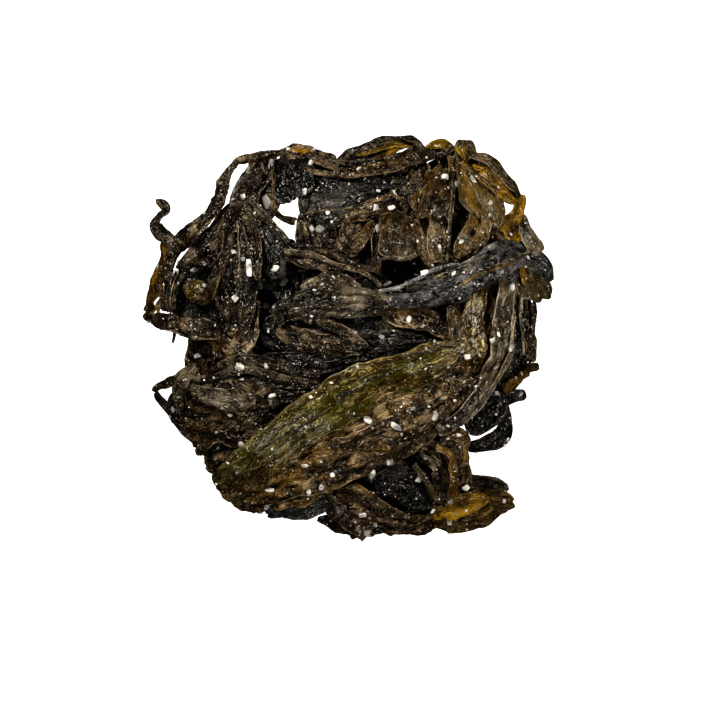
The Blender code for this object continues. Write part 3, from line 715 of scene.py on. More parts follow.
# %% The fan, the hoops and the flaps on the left
# stub_shine is an olive strip that paints a highlight on the olive stub.
LEFT_FRONDS = """
fan dark 25 0 62 2.9 .5: -22.5 28.3 4.5 5.5, -23 25.5 6 7, -24 17 5 11.5, -24.5 10 4.2 11,
  -24.5 4.5 3.5 10.5, -26 0 2 8;
fan_right black 25 5 40 3 .4: -19.8 27.3 4 4, -17 21.8 4 5.5, -15.6 16.5 3 6, -15 12.8 1.5 4.5;
knot pale 75 0 20 1.6 .3: -26.3 25.6 2 2.4, -25 27.3 4.5 3.4, -22 28 7 3.6, -19.4 27 6 2.8, -16 23.6 3.5 1.8,
  -12.8 20 2 1.5;
knot_low pale 60 0 40 1.8 .5: -25.5 25.2 5 2.5, -22 25.8 6.5 3.5, -18.5 24.6 5 3;
fan_low dark 30 0 55 2.4 .6: -20.5 8 2 4, -22 3 3 8, -25 -.5 2.5 8.5, -29 -1.5 1 6;
outer_hoop dark 110 15 15 1.8 .4: -39.4 6 0 1.6, -39.4 10 2 1.6, -38.6 15 4.5 2.2, -36.8 20 6.5 3,
  -33.5 22.6 7.5 3.8, -30.6 25.4 8 3.6, -28.4 29 8 3, -27.2 32.6 7.5 3.6, -26.3 35.8 7 2.6, -24 38.3 6.5 2.2,
  -20.5 39.4 6 1.9, -15 40.8 5.5 1.9, -10.5 41.4 5 1.8, -6 40.3 4 1.8, -2.7 38.6 3 1.8;
tendril dark 50 5 0 1.5 .2: -36.2 19.4 5.6 2.2, -38.2 21.2 9.6 2.4, -40.2 22.6 9 2.8, -41.8 24.8 8.6 2.7,
  -40.7 26.6 8.8 1.8, -39.5 27.7 9 2.2, -40.2 28.9 9 2.2, -41.4 29.6 9 1;
amber_flap amber 25 5 25 2 .4: -39.4 20.4 8.4 4.4, -40.3 16.6 6 4.8, -41.3 12.8 3 4.6, -42.5 10.2 2 3.6,
  -43.4 8.3 1 2.2, -43.4 6.6 0 3.2, -44 5.4 -.5 2.4;
flap_side brown 25 5 15 2 .3: -40.8 11.8 2 1.8, -40.4 8.5 1.8 1.3, -41.5 6.2 .5 2.2;
corner_band dark 30 0 45 2 .5: -44.3 5 -1 1.6, -42 4 .5 3, -37.5 3 2 4.5, -32 2 2.5 5, -27 1.5 2 4;
thorn brown 30 0 0 1.5 0: -37.2 .8 -1 1.2, -38 -1.3 -1 .5;
inner_strap dark 40 15 20 1.8 .2: -24.5 26.8 4.5 2, -29 23 4.5 2.8, -33 18.6 4 3, -36.3 13.8 3 2.6,
  -38 10 2 2.2, -38.3 5.6 1 2;
inner_blade dark 15 0 30 2.6 .4: -26 25.3 3 2.6, -29.5 20.5 2.5 5.5, -31.5 15.5 1 6;
olive_stub rib 45 0 26 1.3 .1 1.2: -35.2 11.2 1 2.2, -33.5 10.5 2.8 4.4, -31.6 9.3 3 5, -30.2 7.4 1 3.2;
stub_shine rib 40 0 26 1.1 .1 .6: -34.3 11.6 2.8 1, -32.6 11 4.2 2, -31 9.8 3.8 1.6;
small_strap dark 50 0 0 1.4 .2: -25.3 28.6 2 1, -28 26 2 1, -30 23 2.5 1;
left_point_top dark 40 0 12 1.6 .3: -31.8 -7.5 -3.4 2.6, -36 -8.6 -3 2.2, -40.2 -10.3 -3 1.9,
  -42.6 -12 -3.5 1.6;
left_point_side dark 40 0 12 1.6 .3: -42.7 -12.2 -3.5 1.6, -40.4 -14.9 -3.5 2, -37.4 -18.4 -3.5 2,
  -34.8 -22 -3.6 2, -31.2 -23.8 -3 2.6;
point_panel black 20 0 12 2 .2: -33.4 -11 -4 3, -37 -13 -4.3 3, -38 -15.4 -4.5 3.4, -36 -19 -4.5 3,
  -32.5 -21 -4 3;
left_wall brown 20 0 24 2 .3: -33.3 0 -2 2.5, -33.8 -4 -3 2.6, -34.3 -8 -3 2.6;
"""

# %% The cords and blades along the top edge
# loop_shade is a black sheet that paints the shade under the loop.
TOP_FRONDS = """
top_left_pleat dark 20 5 48 2.2 .4: -17.8 39.8 3 5, -19.3 35.5 4.5 6.6, -21 30.5 4 6.4, -21.6 27.5 4 5.5;
side_pleat slate 35 0 20 1.6 .3: -21 37.6 1.5 1.6, -22.8 34 2.5 2.4, -24 30 2.5 2.4, -24.8 27 2 2.2;
hanging_panel black 8 0 26 3.4 .3: -12.4 40 2 7, -12 37 3 9.5, -11.6 33 2.5 10.5, -10.8 29.9 1.5 9.5;
pleat_foot black 10 0 40 2.4 .4: -17.6 36 .6 4, -17.4 32.5 1.2 5, -17.2 28.4 1 4.6, -17.8 25 .6 3;
web_edge black 10 0 30 2.4 .3: -8.8 32 1.2 4.4, -8 28.5 1.4 4.8, -7.8 24.5 1.2 4.8, -8.2 20.6 .6 4.4;
panel_side dark 50 0 25 1.8 .2: -17 39 2 2.6, -17.2 34.5 3 3.2, -16.8 31 3 2.6, -16.2 28.3 2 1.5,
  -14.3 26.2 1.5 1.2, -11 25 1 1.2;
amber_lip amber 30 5 15 1.8 .3: -15 40.8 3.4 1.2, -11 40.7 4.2 1.4, -8.6 39.6 4 1.6, -7.2 38.4 3.2 1;
top_left_shoulder dark 40 0 30 1.8 .4: -14.5 39.6 2 1.6, -10 39.3 3 2, -6 38.4 3.5 2.6, -2 36.8 3 2.4;
web_a black 10 0 36 2.8 .3: -9 26 .6 8, -5 27 1.5 9, 2 30 1.5 6, 9 31.4 1 5;
web_b black 15 0 40 2.8 .5: -8.5 33.5 1.5 5, -3 33 2.5 6, 4 33.2 2.5 5, 12 34.5 2 4.5;
top_twist_a dark 85 30 10 1.6 .2: -9 36.6 3 1.5, -3.5 35.6 4 1.8, 3 35.4 5 1.9, 9 36.2 5 2, 15 38.3 5 2.2,
  20 40.6 4 2, 23 41.5 3.5 1.4;
top_twist_b dark 85 45 10 1.4 .2: -8 38.4 3 1.2, -3.5 36.8 4.5 1.5, 2 36.4 5.2 1.6, 8 37.3 5.4 1.8,
  13.5 39.2 5.2 1.8, 18.5 41.2 4.5 1.6;
top_twist_c dark 60 0 20 1.6 .3: -4 38 3 1.6, 1 37.6 4 1.8, 6 38.2 4.4 1.8, 10.5 39.2 4 1.4, 15.5 41 4 1.4;
top_loop dark 55 15 10 1.6 .2: -2 37.9 2.5 1.4, 1.5 40.1 4.5 1.6, 5.5 41.7 5.5 1.5, 11.2 43.8 6.5 1.5,
  14.2 43.2 6 1.7, 16.1 42 5 2.3, 17.8 40.4 3 2.2;
loop_lining gold 20 0 15 1.5 .3: 2 39.4 4 .9, 5 40.7 4.6 2, 9 42 5 2.4, 12 42.4 5 2.4, 14.4 42.2 5 1.2;
loop_floor gold 20 0 15 1.5 .3: 4 37.8 2 1.2, 7.5 39.3 2.5 1.8, 11 41.2 2.5 1.7, 14.3 42.3 2.5 1;
loop_shade black 20 0 15 1.5 .3: -1.5 37.8 1 2.2, 3 39.2 1.6 3, 7 40.6 2 2.2, 12.5 42.6 3 1.2;
loop_foot dark 15 0 15 1.5 .2: 14.4 43 2 1.2, 16 41.2 2 2.4, 18.8 40.8 1.6 3.2, 22 40.8 1 3;
tab_foot brown 10 0 15 1.8 .2: 25.4 40.8 1 3, 28 39 1.4 3.6, 31.4 37 1.6 3, 34.6 34.6 1.6 2;
amber_tip gold 5 0 10 2 .1: 17.4 41 2.5 1, 19.2 42.2 3 2, 20.6 42.4 3 2.6, 22.8 41.6 2.5 1.6;
tab_side brown 15 0 15 2 .3: 22.6 42 3 2.4, 23 39.5 3.6 2.6, 23 36 3.6 2.2;
olive_back rib 10 0 16 2 .3: 21.3 40 1.8 3.4, 21.6 37.3 2 4, 21.2 34.8 1.5 3.4;
"""

# %% [markdown]
# The upper middle is a hollow with thin brown leaves standing in it, and at its right the blade is one
# layer thick, so that it glows golden.

# %% The crumpled leaves and the golden hoops
# tab_glow paints the glow of light coming through the tab, tube_shade is a dark strip that paints the shade
# between the tube and the arc, and slot_shine is an olive strip that paints a highlight in the slot.
CENTRE_FRONDS = """
top_right_tab leaf 8 0 12 1.4 .3: 25.6 43.1 3.8 4.2, 25.8 40.5 4.5 4.8, 25.8 37.8 3.8 4.4;
tab_glow gold 10 0 10 1.4 .2 .4: 24.4 42.6 4.6 1.8, 25.4 40.8 5.4 2.4, 26.6 38.8 4.8 1.6;
tan_blade leaf 6 0 8 4.2 .3: 24.9 39 4.6 3.4, 26.8 35.5 6 7.2, 29.1 31.5 6.2 10, 31.2 27.5 5.2 8,
  31.8 23.5 3.4 4.2;
amber_tube gold 14 0 16 1.6 .2: 27.6 37.6 5.2 3, 30 35.8 6.6 4.6, 32.8 33.4 7 5.2, 35.5 31.2 6.4 4.6,
  37.2 30 5 3;
right_arc dark 24 5 12 1.8 .2: 27 40.4 5 2.2, 30 39 6.4 2.6, 33.6 36.2 7.2 2.6, 36.5 32.8 7.2 2.3,
  38.1 30.4 5.8 1.7;
tube_shade brown 20 0 20 1.2 .2: 30 36.4 6.4 .5, 33 34.9 7.2 .6, 35.6 33 7 .5, 37.4 31.4 6.2 .4;
gold_hoop gold 16 0 14 1.6 .2: 37.8 31 4.6 3, 37.6 27.8 4.8 3.8, 36.2 24.6 4.4 6, 34.6 22 3.4 7;
hoop_foot brown 12 0 30 2 .4: 31.8 25 1.5 3.2, 32.4 21.8 1.5 6.6, 34.4 19.8 2 6;
pale_strap film 15 0 10 1.6 .2: 38.7 26.6 2.5 1.4, 39.2 23.6 3.2 3.6, 40.7 20.8 4 4.6, 42.8 18.6 4 3.4;
curl_leaf tan 10 5 30 3.4 .6: 11.8 27 3 6, 11 24.5 4.6 9, 10.8 21 5.4 9.4, 10.9 17 5 8.6;
hood_side brown 15 30 30 2.4 .6: 7.4 24.5 3 2.4, 6.4 20.5 4 3, 6.3 16 3.4 2.4, 6.8 13.5 2.4 1.4;
curl_rim pale 50 0 8 1.4 .2: 6.6 16.4 4.4 .5, 8.4 17 5.6 .55, 11.5 16.6 5.8 .55, 14.8 17.4 5.2 .5;
strip_leaf brown 15 0 36 2.6 .6: -1 25.6 2.4 2.6, 4 27.2 4 4.4, 9 28.4 4.4 4.6, 13.5 27.4 3.6 3.4;
left_leaf dark 15 0 40 2.8 .6: 3 26 1.5 5, 1.5 22 2.6 6, -.5 18 2 5;
left_leaf_b dark 12 0 44 2.8 .6: -6.6 27.3 .5 8, -6.5 22 2 8.6, -5 17 1 8;
golden_fold tan 30 5 20 1.4 .4: 6.2 24.6 4 1.6, 3.8 21.6 4.8 2.6, 1.4 18.4 4 2;
slope_leaf dark 12 0 40 3 .6: 16.5 38 2 5, 14.5 34.5 2.6 7, 12.5 31 2 6.5, 12.5 28.5 1.5 5;
crumple_leaf tan 10 0 42 3.2 .7: 21 37 2.5 4, 19.3 33.5 3.6 7, 18.2 29.5 4.2 8.4, 17.6 25.5 3.8 8;
vertical_leaf tan 10 5 26 2.8 .4: 20.2 27.5 3.8 3.6, 19.9 24 4.8 4.8, 19.8 20 5 5.4, 19.8 16 4.2 5;
vertical_edge dark 40 15 8 1.4 .3: 23.6 36.5 4 .7, 22.8 30.5 5.4 .8, 22.3 26 6 .8, 22 21 5.6 .9,
  21.6 16.4 4.6 .8;
brace_leaf brown 40 5 24 1.5 .4: 14.6 27 3.4 1.2, 15.5 22.5 4.4 1.6, 16.4 18 4.6 1.8, 18 14.8 3.8 1.4;
grey_leaf tan 6 0 40 3.4 .6: 28 27 3 3, 28.4 24.8 4 5, 27.4 22 4.6 6.2, 25.4 19.4 4.4 5.8, 23.4 17.4 3.6 4;
grey_crest film 50 10 16 2 .4: 30 26.6 4.4 .7, 30.6 24.4 5 .9, 29.8 21.8 5 .9, 27.6 19.4 4.6 .7;
leaf_curl film 60 0 8 1.4 .2: 23.8 21 4.8 .7, 25.4 21.6 5.6 .9, 26.6 19.8 5.2 .8;
slot_floor dark 8 0 14 2.4 .2 .6: 22.6 35.5 -1.5 7, 24 31.5 -2 9, 25.6 27.5 -2 10.4, 25.4 23.5 -2 9;
slot_shine rib 8 0 14 2.4 .2: 23.4 28.6 .4 2, 26 28.6 .6 2.6, 28.4 27.4 .8 2;
bridge_leaf brown 15 0 30 2.4 .4: 29.5 20.5 .5 4, 27.5 17.3 2.5 5, 23.5 16 3 4.4, 18.5 14.6 2.5 3.4;
centre_mat dark 10 0 44 2.6 .7: -9.6 19.4 0 3, -7 18.6 1 6, -3 17.5 1.5 7, 2.5 16 1 6;
"""

# %% [markdown]
# Round the right and lower rim the ends of the fronds show: folded tips, a stub of cut stem, and broad
# leaves that lie on the floor side of the heap.

# %% The right and lower rim
# leaf_glow paints the glow of light coming through the amber leaf.
RIM_FRONDS = """
right_tip leaf 10 0 18 2 .3: 36.5 12.5 2.5 7.5, 40.5 11.9 3.2 8.6, 43 11 2.2 6.6, 45.1 9.9 1 3.6;
tip_spot amber 20 0 10 2 .2 .4: 38.1 15.4 4 1.6, 38.4 13.2 3.8 1.9, 38.2 11.6 3.4 1.2;
right_fold_a dark 45 10 24 1.6 .4: 38.5 8.5 2 2.4, 38.6 4.5 3 2.4, 39.4 .5 3 2.4, 39.8 -3.2 2.5 2.4,
  38.5 -5.8 1.5 2;
right_fold_b brown 45 5 14 1.4 .4: 40.6 7.6 .5 1.8, 41 4.5 1.5 1.4, 41.1 0 1.8 1.3, 41 -3 1.2 1.3,
  41 -5.3 .8 1.2;
right_fold_c black 25 0 40 1.8 .4: 37 6.5 1 2.6, 37.6 2 1.5 3.2, 37.8 -2.5 1.5 3.4, 36.5 -6 .8 3;
fold_line film 40 0 10 1.4 .3: 37.8 8.6 2.4 .5, 37.4 4 3 .6, 38.4 0 3.2 .6, 38.6 -4 2.4 .5;
knob_panel dark 15 0 24 2 .4: 39 -3.5 0 5, 37 -7.5 .4 6, 34 -11 .2 5;
right_knob amber 45 0 18 1.6 .4: 41.8 -6.4 1 1.6, 39.2 -7.5 2 2.2, 36.6 -9.4 2.2 2.4, 34.5 -12 1 2.4;
small_stub black 40 0 8 1.6 .1 .8: 34.5 -13.8 -2 2.4, 36.8 -12.8 -2 2.7, 38.8 -12.5 -2 2.2;
corner_panel black 8 0 48 3 .6: 34 -8.6 -1.4 5, 33.2 -12 -.8 6.5, 31.8 -15 -1 7.6, 29.4 -17.4 -1.5 8.4,
  25.4 -18.6 -2 5.2;
right_hoop black 40 0 12 1.6 .3: 34.4 -15 -1 3, 34.6 -18.5 -.5 3.6, 33.8 -21.6 -.5 4.6, 30.5 -23.2 -1 3.6,
  26.3 -23.8 -2 2.8;
bottom_leaf brown 10 0 40 3.4 .7: -3 -35 0 7, 3 -38.8 1 11, 10 -41 1 8.2, 15.5 -41.7 0 7, 18.8 -41.8 -1 4.4;
bottom_leaf_b black 10 0 40 3 .8: 5 -29.5 0 4, 9.5 -31 1 7.5, 14.5 -33.5 1.5 8, 19 -36 1 4;
leaf_rim tan 50 10 14 1.6 .5: 1.5 -32 2.5 1.8, 5 -34.5 3 2.2, 9 -37.5 3.2 2.4, 14 -39.6 3 2,
  18.5 -38.8 3 1.6, 19.3 -37 2.5 1.2;
cup_fold tan 25 15 30 1.8 .5: 19.5 -24 3 1.2, 22.2 -25.2 4 1.8, 23.4 -29 4.4 2.2, 23.3 -33 3.5 2.4,
  22.3 -36.4 2 1.6;
cup_wall dark 15 0 30 2 .6: 16 -24 .5 5, 20.5 -26.5 1.2 5.5, 21 -31 1.2 5, 20.5 -35 .6 3.4;
cup_side brown 20 0 30 1.8 .6: 21 -21.5 1 5, 24.2 -22.5 2 5, 25 -26 2 3.6, 25.4 -30 1 4.6, 24.6 -34.5 .5 4;
cup_spot amber 20 0 10 1.8 .3 .4: 25.6 -23.6 3 .7, 25.8 -25.8 3 1, 25.4 -28 2.4 .7;
cup_line tan 40 0 10 1.6 .3: 14.5 -27.5 3 .9, 17 -31.5 3.4 1.2, 20 -35.8 2.6 1, 21.5 -37 2 .8;
amber_leaf amber 8 25 24 2.8 .6: 17.4 -39.8 .5 6, 21 -38.8 1.5 10, 25.5 -38 2 10.6, 30 -37.2 1.5 8.6,
  34 -36.4 1 5.6, 36.5 -36.3 .4 2.6;
leaf_glow amber 8 25 30 2.4 .6 .4: 18.4 -40.4 2.4 4, 22.4 -38.9 3.2 7, 26.8 -37.6 3.4 6.6, 31.4 -36.4 3 4;
leaf_gold gold 20 25 20 1.6 .5 .4: 18.8 -38.8 3.4 3.2, 22.6 -37.4 4.4 5.2, 26.8 -36 4.6 4.8,
  30.8 -35.1 4 2.2;
amber_leaf_fold dark 20 0 24 1.8 .4: 25.5 -32.3 .5 4.6, 29 -32.4 1.5 5, 32.5 -33 1 4.6, 35.4 -34 0 2.4;
bottom_dark slate 10 0 30 2 .4: -17.8 -38.7 -2.5 2, -13 -38 -2 4.8, -8.5 -37 -1.5 6, -5 -36 -1.5 5;
bottom_strip brown 20 0 24 1.8 .4: -6.3 -39.8 -1.5 2, -3 -40.4 -1.5 3.6, 0 -42 -1.5 3.6, 2 -44 -1.8 1.4;
bottom_point dark 55 0 16 1.6 .3: -4.5 -34.5 1 2, -1.5 -37.5 1.5 3, 1.5 -41 1 2.6, 3.3 -44.2 0 1.6;
"""

# %% [markdown]
# Between and behind the fronds that show, darker ones lie lower and close the bundle.

# %% The darker fronds behind
BACK_FRONDS = """
back_left black 20 0 45 2.6 .6: -24.5 21 -1 4, -28 15 -2 6, -31 9 -2.5 8, -32 3 -2.5 8, -29 -3 -2.5 7;
ring_floor black 8 0 30 2 .4: -32.3 17.5 -3 4, -33.6 14 -3.5 8, -35 9 -4 8.6, -35.4 4.5 -4 8;
back_left_low dark 20 0 45 2.6 .6: -30 3 -4 6, -31 -4 -4 6, -32.5 -14 -4 8;
back_right black 20 0 45 2.6 .6: 38 15 -3 7, 37.5 7 -2.5 6.5, 37 -1 -2.5 7, 35.5 -8 -2.5 6;
back_top_right brown 20 0 30 2.8 .6: 23 38.5 -1 5, 27 33.5 -2 6.5, 28.5 28 -2 6.5, 28 21 -2 7;
back_top black 20 0 45 2.6 .6: -8 36.5 -1.5 5, 4 33.5 -1 6, 14 35 -1 7, 23 38 -1.5 5;
back_top_left dark 20 0 45 2.4 .6: -10 36 -1.5 7, -16 34.5 -1.5 6.5, -20 31 -1.5 5, -22.5 27 -2 4.5;
back_centre brown 20 0 45 2.6 .6: -4 25 -1 9, 8 27 -1 9, 18 25 -1 10, 26 21 -1 7;
back_bottom black 20 0 45 2.6 .6: -23 -32 -3 6, -13 -33.5 -2.5 8, -3 -35.5 -2.5 8, 8 -37.5 -2.5 9,
  18 -37 -2.5 8, 26 -34.5 -2.5 6;
back_bottom_right dark 8 0 45 2.6 .6: 4 -27 -2.5 8, 11 -27.5 -3.5 9, 18 -28.5 -3 10, 23 -31.5 -2.5 8;
"""

# %% Make the fronds that show
GROUPS = {
    "back_fronds": BACK_FRONDS,
    "midrib_fronds": MIDRIB_FRONDS,
    "left_blade_fronds": BLADE_FRONDS,
    "black_band_fronds": BAND_FRONDS,
    "left_fronds": LEFT_FRONDS,
    "top_fronds": TOP_FRONDS,
    "centre_fronds": CENTRE_FRONDS,
    "rim_fronds": RIM_FRONDS,
}
heap = []
for group, table in GROUPS.items():
    heap.append(join(group, [make_frond(*row) for row in frond_rows(table)]))

# %% [markdown]
# ## The imported inside
# Between the fronds one looks down on more of the same, pressed flat and dark. A lumpy core, painted
# with the full valley shade, fills the middle, and a layer of fronds thrown over it by a rule, with seeded
# random turns, covers it. Fronds round the flank and under the bundle are laid in rows in the same way.


# %% The core
HOLLOW_DEPTH = 5.0
# texture, height in mm, size
CORE_LUMPS = ((CRUMPLE, 3.0, 0.009), (CREASES, -1.6, 0.004))


def core_points(flat):
    """A unit sphere's points as the core, in mm on the plan."""
    tilt = np.arcsin(np.clip(flat[:, 2], -1, 1))
    bearing = np.degrees(np.arctan2(flat[:, 1], flat[:, 0]))
    depth = np.where(tilt > 0, DOME_RISE - CORE_DROP, RIM_LEVEL + CORE_SUNK)
    z = RIM_LEVEL + depth * np.sin(tilt)
    reach = core_reach(bearing, RIM_LEVEL) * np.cos(tilt) ** 0.75
    x, y = reach * np.cos(np.radians(bearing)), reach * np.sin(np.radians(bearing))
    for middle_x, middle_y, radius in HOLLOWS:
        away = ((x - middle_x) ** 2 + (y - middle_y) ** 2) / (1.3 * radius) ** 2
        z = z - HOLLOW_DEPTH * np.exp(-away) * (tilt > 0)
    return np.stack([x, y, np.maximum(z, 0.6)], axis=1)


bpy.ops.object.select_all(action="DESELECT")
bpy.ops.mesh.primitive_uv_sphere_add(segments=260, ring_count=130, radius=1)
core = bpy.context.object
core.name = core.data.name = "packed_core"
core.data.vertices.foreach_set("co", on_plan(core_points(coordinates(core.data))).ravel())
core.data.uv_layers[0].name = "strip"
core.data.update()
for texture, strength, size in CORE_LUMPS:
    lump = texture.copy()
    lump.noise_scale = size
    push = core.modifiers.new("lumps", "DISPLACE")
    push.texture, push.texture_coords, push.mid_level = lump, "LOCAL", 0.4
    push.strength = strength * MM
    bpy.ops.object.modifier_apply(modifier="lumps")
count = len(keep_above(core.data, 0.5))
# Painted shade: raised 0 gives the core the full valley shade, and tint 1 darkens it further.
for name, value in (("raised", 0.0), ("margin", 0.0), ("tint", 1.0)):
    store(core.data, name, np.full(count, value))
core.data.materials.append(MATERIALS["black"])
bpy.ops.object.shade_smooth()
core.select_set(False)
place(core)
heap.append(core)
print("packed_core:", count, "points")

# %% [markdown]
# A frond of the under layer starts somewhere on the dome and runs on in a gentle bend. Its height above
# the dome is negative, so it stays below the fronds that show. No frond is laid over a hollow, or over
# the gap at the upper left, where the bundle is open right through.

# %% The under layer
UNDER_FRONDS, UNDER_REACH, START_REACH, UNDER_STEP = 34, 36.5, 29, 6
chance = random.Random(11)


def clear_of_hollows(x, y, width):
    """Whether a frond at this place leaves the hollows and the gap open."""
    gap_x, gap_y, gap_radius = OPEN_GAP
    if math.hypot(x - gap_x, y - gap_y) < gap_radius + width / 2 - 2:
        return False
    return all(math.hypot(x - hx, y - hy) > radius + width / 2 - 1.5 for hx, hy, radius in HOLLOWS)


def under_route():
    """A bent route over the dome that keeps clear of the hollows."""
    while True:
        bearing, reach = chance.uniform(0, math.tau), START_REACH * math.sqrt(chance.random())
        x, y = reach * math.cos(bearing), reach * math.sin(bearing)
        heading, bend = chance.uniform(0, math.tau), chance.uniform(-0.5, 0.5)
        width, sink = chance.uniform(4.5, 8), chance.uniform(-4.5, -1.5)
        stations = []
        for share in (0.7, 1, 1, 0.9, 0.6):
            stations.append((x, y, sink + chance.uniform(-0.6, 0.6), width * share))
            x += UNDER_STEP * math.cos(heading)
            y += UNDER_STEP * math.sin(heading)
            heading += bend
        inside = all(math.hypot(s[0], s[1]) + s[3] / 2 < UNDER_REACH for s in stations)
        if inside and all(clear_of_hollows(s[0], s[1], s[3]) for s in stations):
            return stations


under = []
for k in range(UNDER_FRONDS):
    finish = chance.choice(("black", "black", "dark", "brown"))
    roll, wave = chance.uniform(-15, 15), chance.uniform(2, 3)
    under.append(make_frond(f"under_{k}", finish, 20, roll, 50, wave, 0.6, 0.5, under_route(), COARSE_CELL))
heap.append(join("under_fronds", under))

# %% [markdown]
# The flank fronds follow the core round at a given level, climbing or falling a little. The rows state
# how many there are, their level, their width and how far they stand out. The last group runs under the
# bundle, pressed flat by its weight.

# %% The flank and the underside
FLANK_ROWS = ((9, 2.6, 7.0, 0.6), (10, 6.5, 8.0, 1.4), (11, 10.5, 8.5, 2.0), (11, 14.5, 8.5, 2.4))
FLANK_TURN = 46
SOLE_STRIPS, SOLE_REACH, SOLE_SPREAD, SOLE_WIDTH = 11, 21, 34, 9
GOLDEN_TURN = 0.618

flank = []
for row, (count, level, width, proud) in enumerate(FLANK_ROWS):
    for k in range(count):
        start = 360 * (k + 0.4 * row) / count + chance.uniform(-8, 8)
        low, climb = level + chance.uniform(-1, 1), chance.uniform(-4, 4)
        stations = []
        for step, share in enumerate((0.6, 1.0, 1.0, 0.5)):
            bearing = start + FLANK_TURN * step / 3
            z = max(0.8, low + climb * (step / 3 - 0.5))
            reach = core_reach(bearing, z) + proud + chance.uniform(-0.5, 0.5)
            wide = width * share * chance.uniform(0.85, 1.15)
            x, y = reach * math.cos(math.radians(bearing)), reach * math.sin(math.radians(bearing))
            stations.append((x, y, z, wide))
        finish = chance.choice(("black", "dark", "dark", "brown", "blade", "amber"))
        roll, wave = chance.uniform(-20, 20), chance.uniform(2.2, 3.4)
        name = f"flank_{row}_{k}"
        flank.append(make_frond(name, finish, 30, roll, 48, wave, 0.9, 0.5, stations, COARSE_CELL, False))
third = len(flank) // 3 + 1
for k, level_name in enumerate(("low", "middle", "high")):
    heap.append(join(f"{level_name}_flank_fronds", flank[k * third : (k + 1) * third]))

sole = []
for k in range(SOLE_STRIPS):
    heading = math.pi * (k * GOLDEN_TURN % 1)
    aside = (k / (SOLE_STRIPS - 1) - 0.5) * SOLE_SPREAD
    stations = []
    for step in (-1, -0.4, 0.3, 1):
        bow = 1 - 0.3 * step * step
        x = step * SOLE_REACH * math.cos(heading) - aside * math.sin(heading) * bow
        y = step * SOLE_REACH * math.sin(heading) + aside * math.cos(heading) * bow
        z = 0.9 + 1.2 * step * step + chance.uniform(0, 0.3)
        stations.append((x, y, z, SOLE_WIDTH * chance.uniform(0.7, 1.1)))
    finish = chance.choice(("black", "dark", "brown"))
    sole.append(make_frond(f"sole_{k}", finish, 6, 0, 34, 3.2, 0.3, 0.5, stations, COARSE_CELL, False))
heap.append(join("sole_fronds", sole))


# %% [markdown]
# ## Thin strands and cut edges
# The blades' margins dry to hard pale threads, and some of them tore loose and lie over the heap. Each
# one is drawn between two places with a bow to one side, and drops onto whatever lies below it.

# %% Find the surface
def surface_tree(pieces):
    """One search tree over all the fronds."""
    corners, faces, first = [], [], 0
    for piece in pieces:
        mesh = piece.data
        corners.append(coordinates(mesh))
        faces += [tuple(first + v for v in face.vertices) for face in mesh.polygons]
        first += len(mesh.vertices)
    print("faces to search:", len(faces))
    return BVHTree.FromPolygons(np.concatenate(corners).tolist(), faces)


surface = surface_tree(heap)
UP = Vector((0, 0, 1))
HIGH_ABOVE = 80


def from_above(x, y):
    """Where a line straight down at a place on the plan meets the bundle."""
    start = Vector(on_plan([(x, y, HIGH_ABOVE)])[0])
    return surface.ray_cast(start, -UP)[:2]


# %% Thin strands
STRAND_WIDTH, STRAND_PLACES, STRAND_CELL = 0.55, 6, 0.3
# from x, from y, to x, to y, bow
STRANDS = numbers("""
-29.5 -30.2 -20 -25.5 .3, -20 -25.5 -12 -20.2 .3, -20 -23.8 -10 -16.5 .4, -12 -20.2 -3 -14.8 -.3,
-2 -12.5 4 -9.8 -.4, 4 -9.8 10.5 -7.5 .3, 5 -5.5 9.5 -6.5 -.6, 9 -6.5 12.5 -6.2 -.6, 11 -4.6 18 -3 .3,
17 -3.4 23.5 -2.2 .5, 16.5 -14.2 20 -12.8 -.3, 20 -12.8 22.6 -9.4 -.4, 22.6 -9.4 27 -9 -.5,
27 -9 30.4 -5.8 -.5, 4 -19.5 10 -17 .3, 10 -17 19.5 -13.5 .4, -18 -38 -9 -34.2 .4, -9 -34.2 -4 -33.6 -.2,
-4 -33.6 4 -30.8 -.4, 4 -30.8 10 -27.5 -.3, 25 -19.3 31.5 -11 .3, 31.5 -11 35 -3.5 -.3,
35.8 -1 36.4 4.5 .2, 36.5 5 38.2 9.5 .2, 5 5.2 9.2 .6 .3, 7.6 5 10.4 .8 -.3, 10.2 4 13.6 0 .3,
11.2 3.6 15 1.4 .4, 17 3.6 14.2 2 .3, -1 -.5 3 -3.6 .3, 1.5 -.8 6.5 -4 .2, -10.4 26.2 -3 27.4 .4,
-3 27.4 4 28 .2, -9.8 25 -8.2 21.8 0, -23.6 25 -23.3 14 .4, -22.2 23.5 -19.6 12.5 -.4,
-26.8 22 -28.8 8 .5, -36.8 14.4 -38.6 7 -.4, 27.2 36.6 33.4 29.8 .3, -17 38.5 -16.4 30 .3,
13 10.2 27 14.2 .4, 26 14 41 19 -.5, 24 11.2 38 16.2 .5, 16 11.4 30 17.6 -.3
""")


def strand_route(x_from, y_from, x_to, y_to, bow):
    """Places along a bowed line, each on the surface below it."""
    length = math.hypot(x_to - x_from, y_to - y_from)
    stations = []
    for step in np.linspace(0, 1, STRAND_PLACES):
        aside = bow * 4 * step * (1 - step) / length
        x = x_from + (x_to - x_from) * step - (y_to - y_from) * aside
        y = y_from + (y_to - y_from) * step + (x_to - x_from) * aside
        where = from_above(x, y)[0]
        level = where.z / MM if where is not None else dome_height(x, y)
        stations.append((x, y, level + 0.1, STRAND_WIDTH))
    return stations


strands = []
for k, row in enumerate(STRANDS):
    name, finish = f"strand_{k}", "pale" if k % 3 else "tan"
    route = strand_route(*row)
    strands.append(make_frond(name, finish, 60, 0, 0, 1.5, 0.1, 0.4, route, STRAND_CELL, False, 0.1))
heap.append(join("thin_strands", strands))

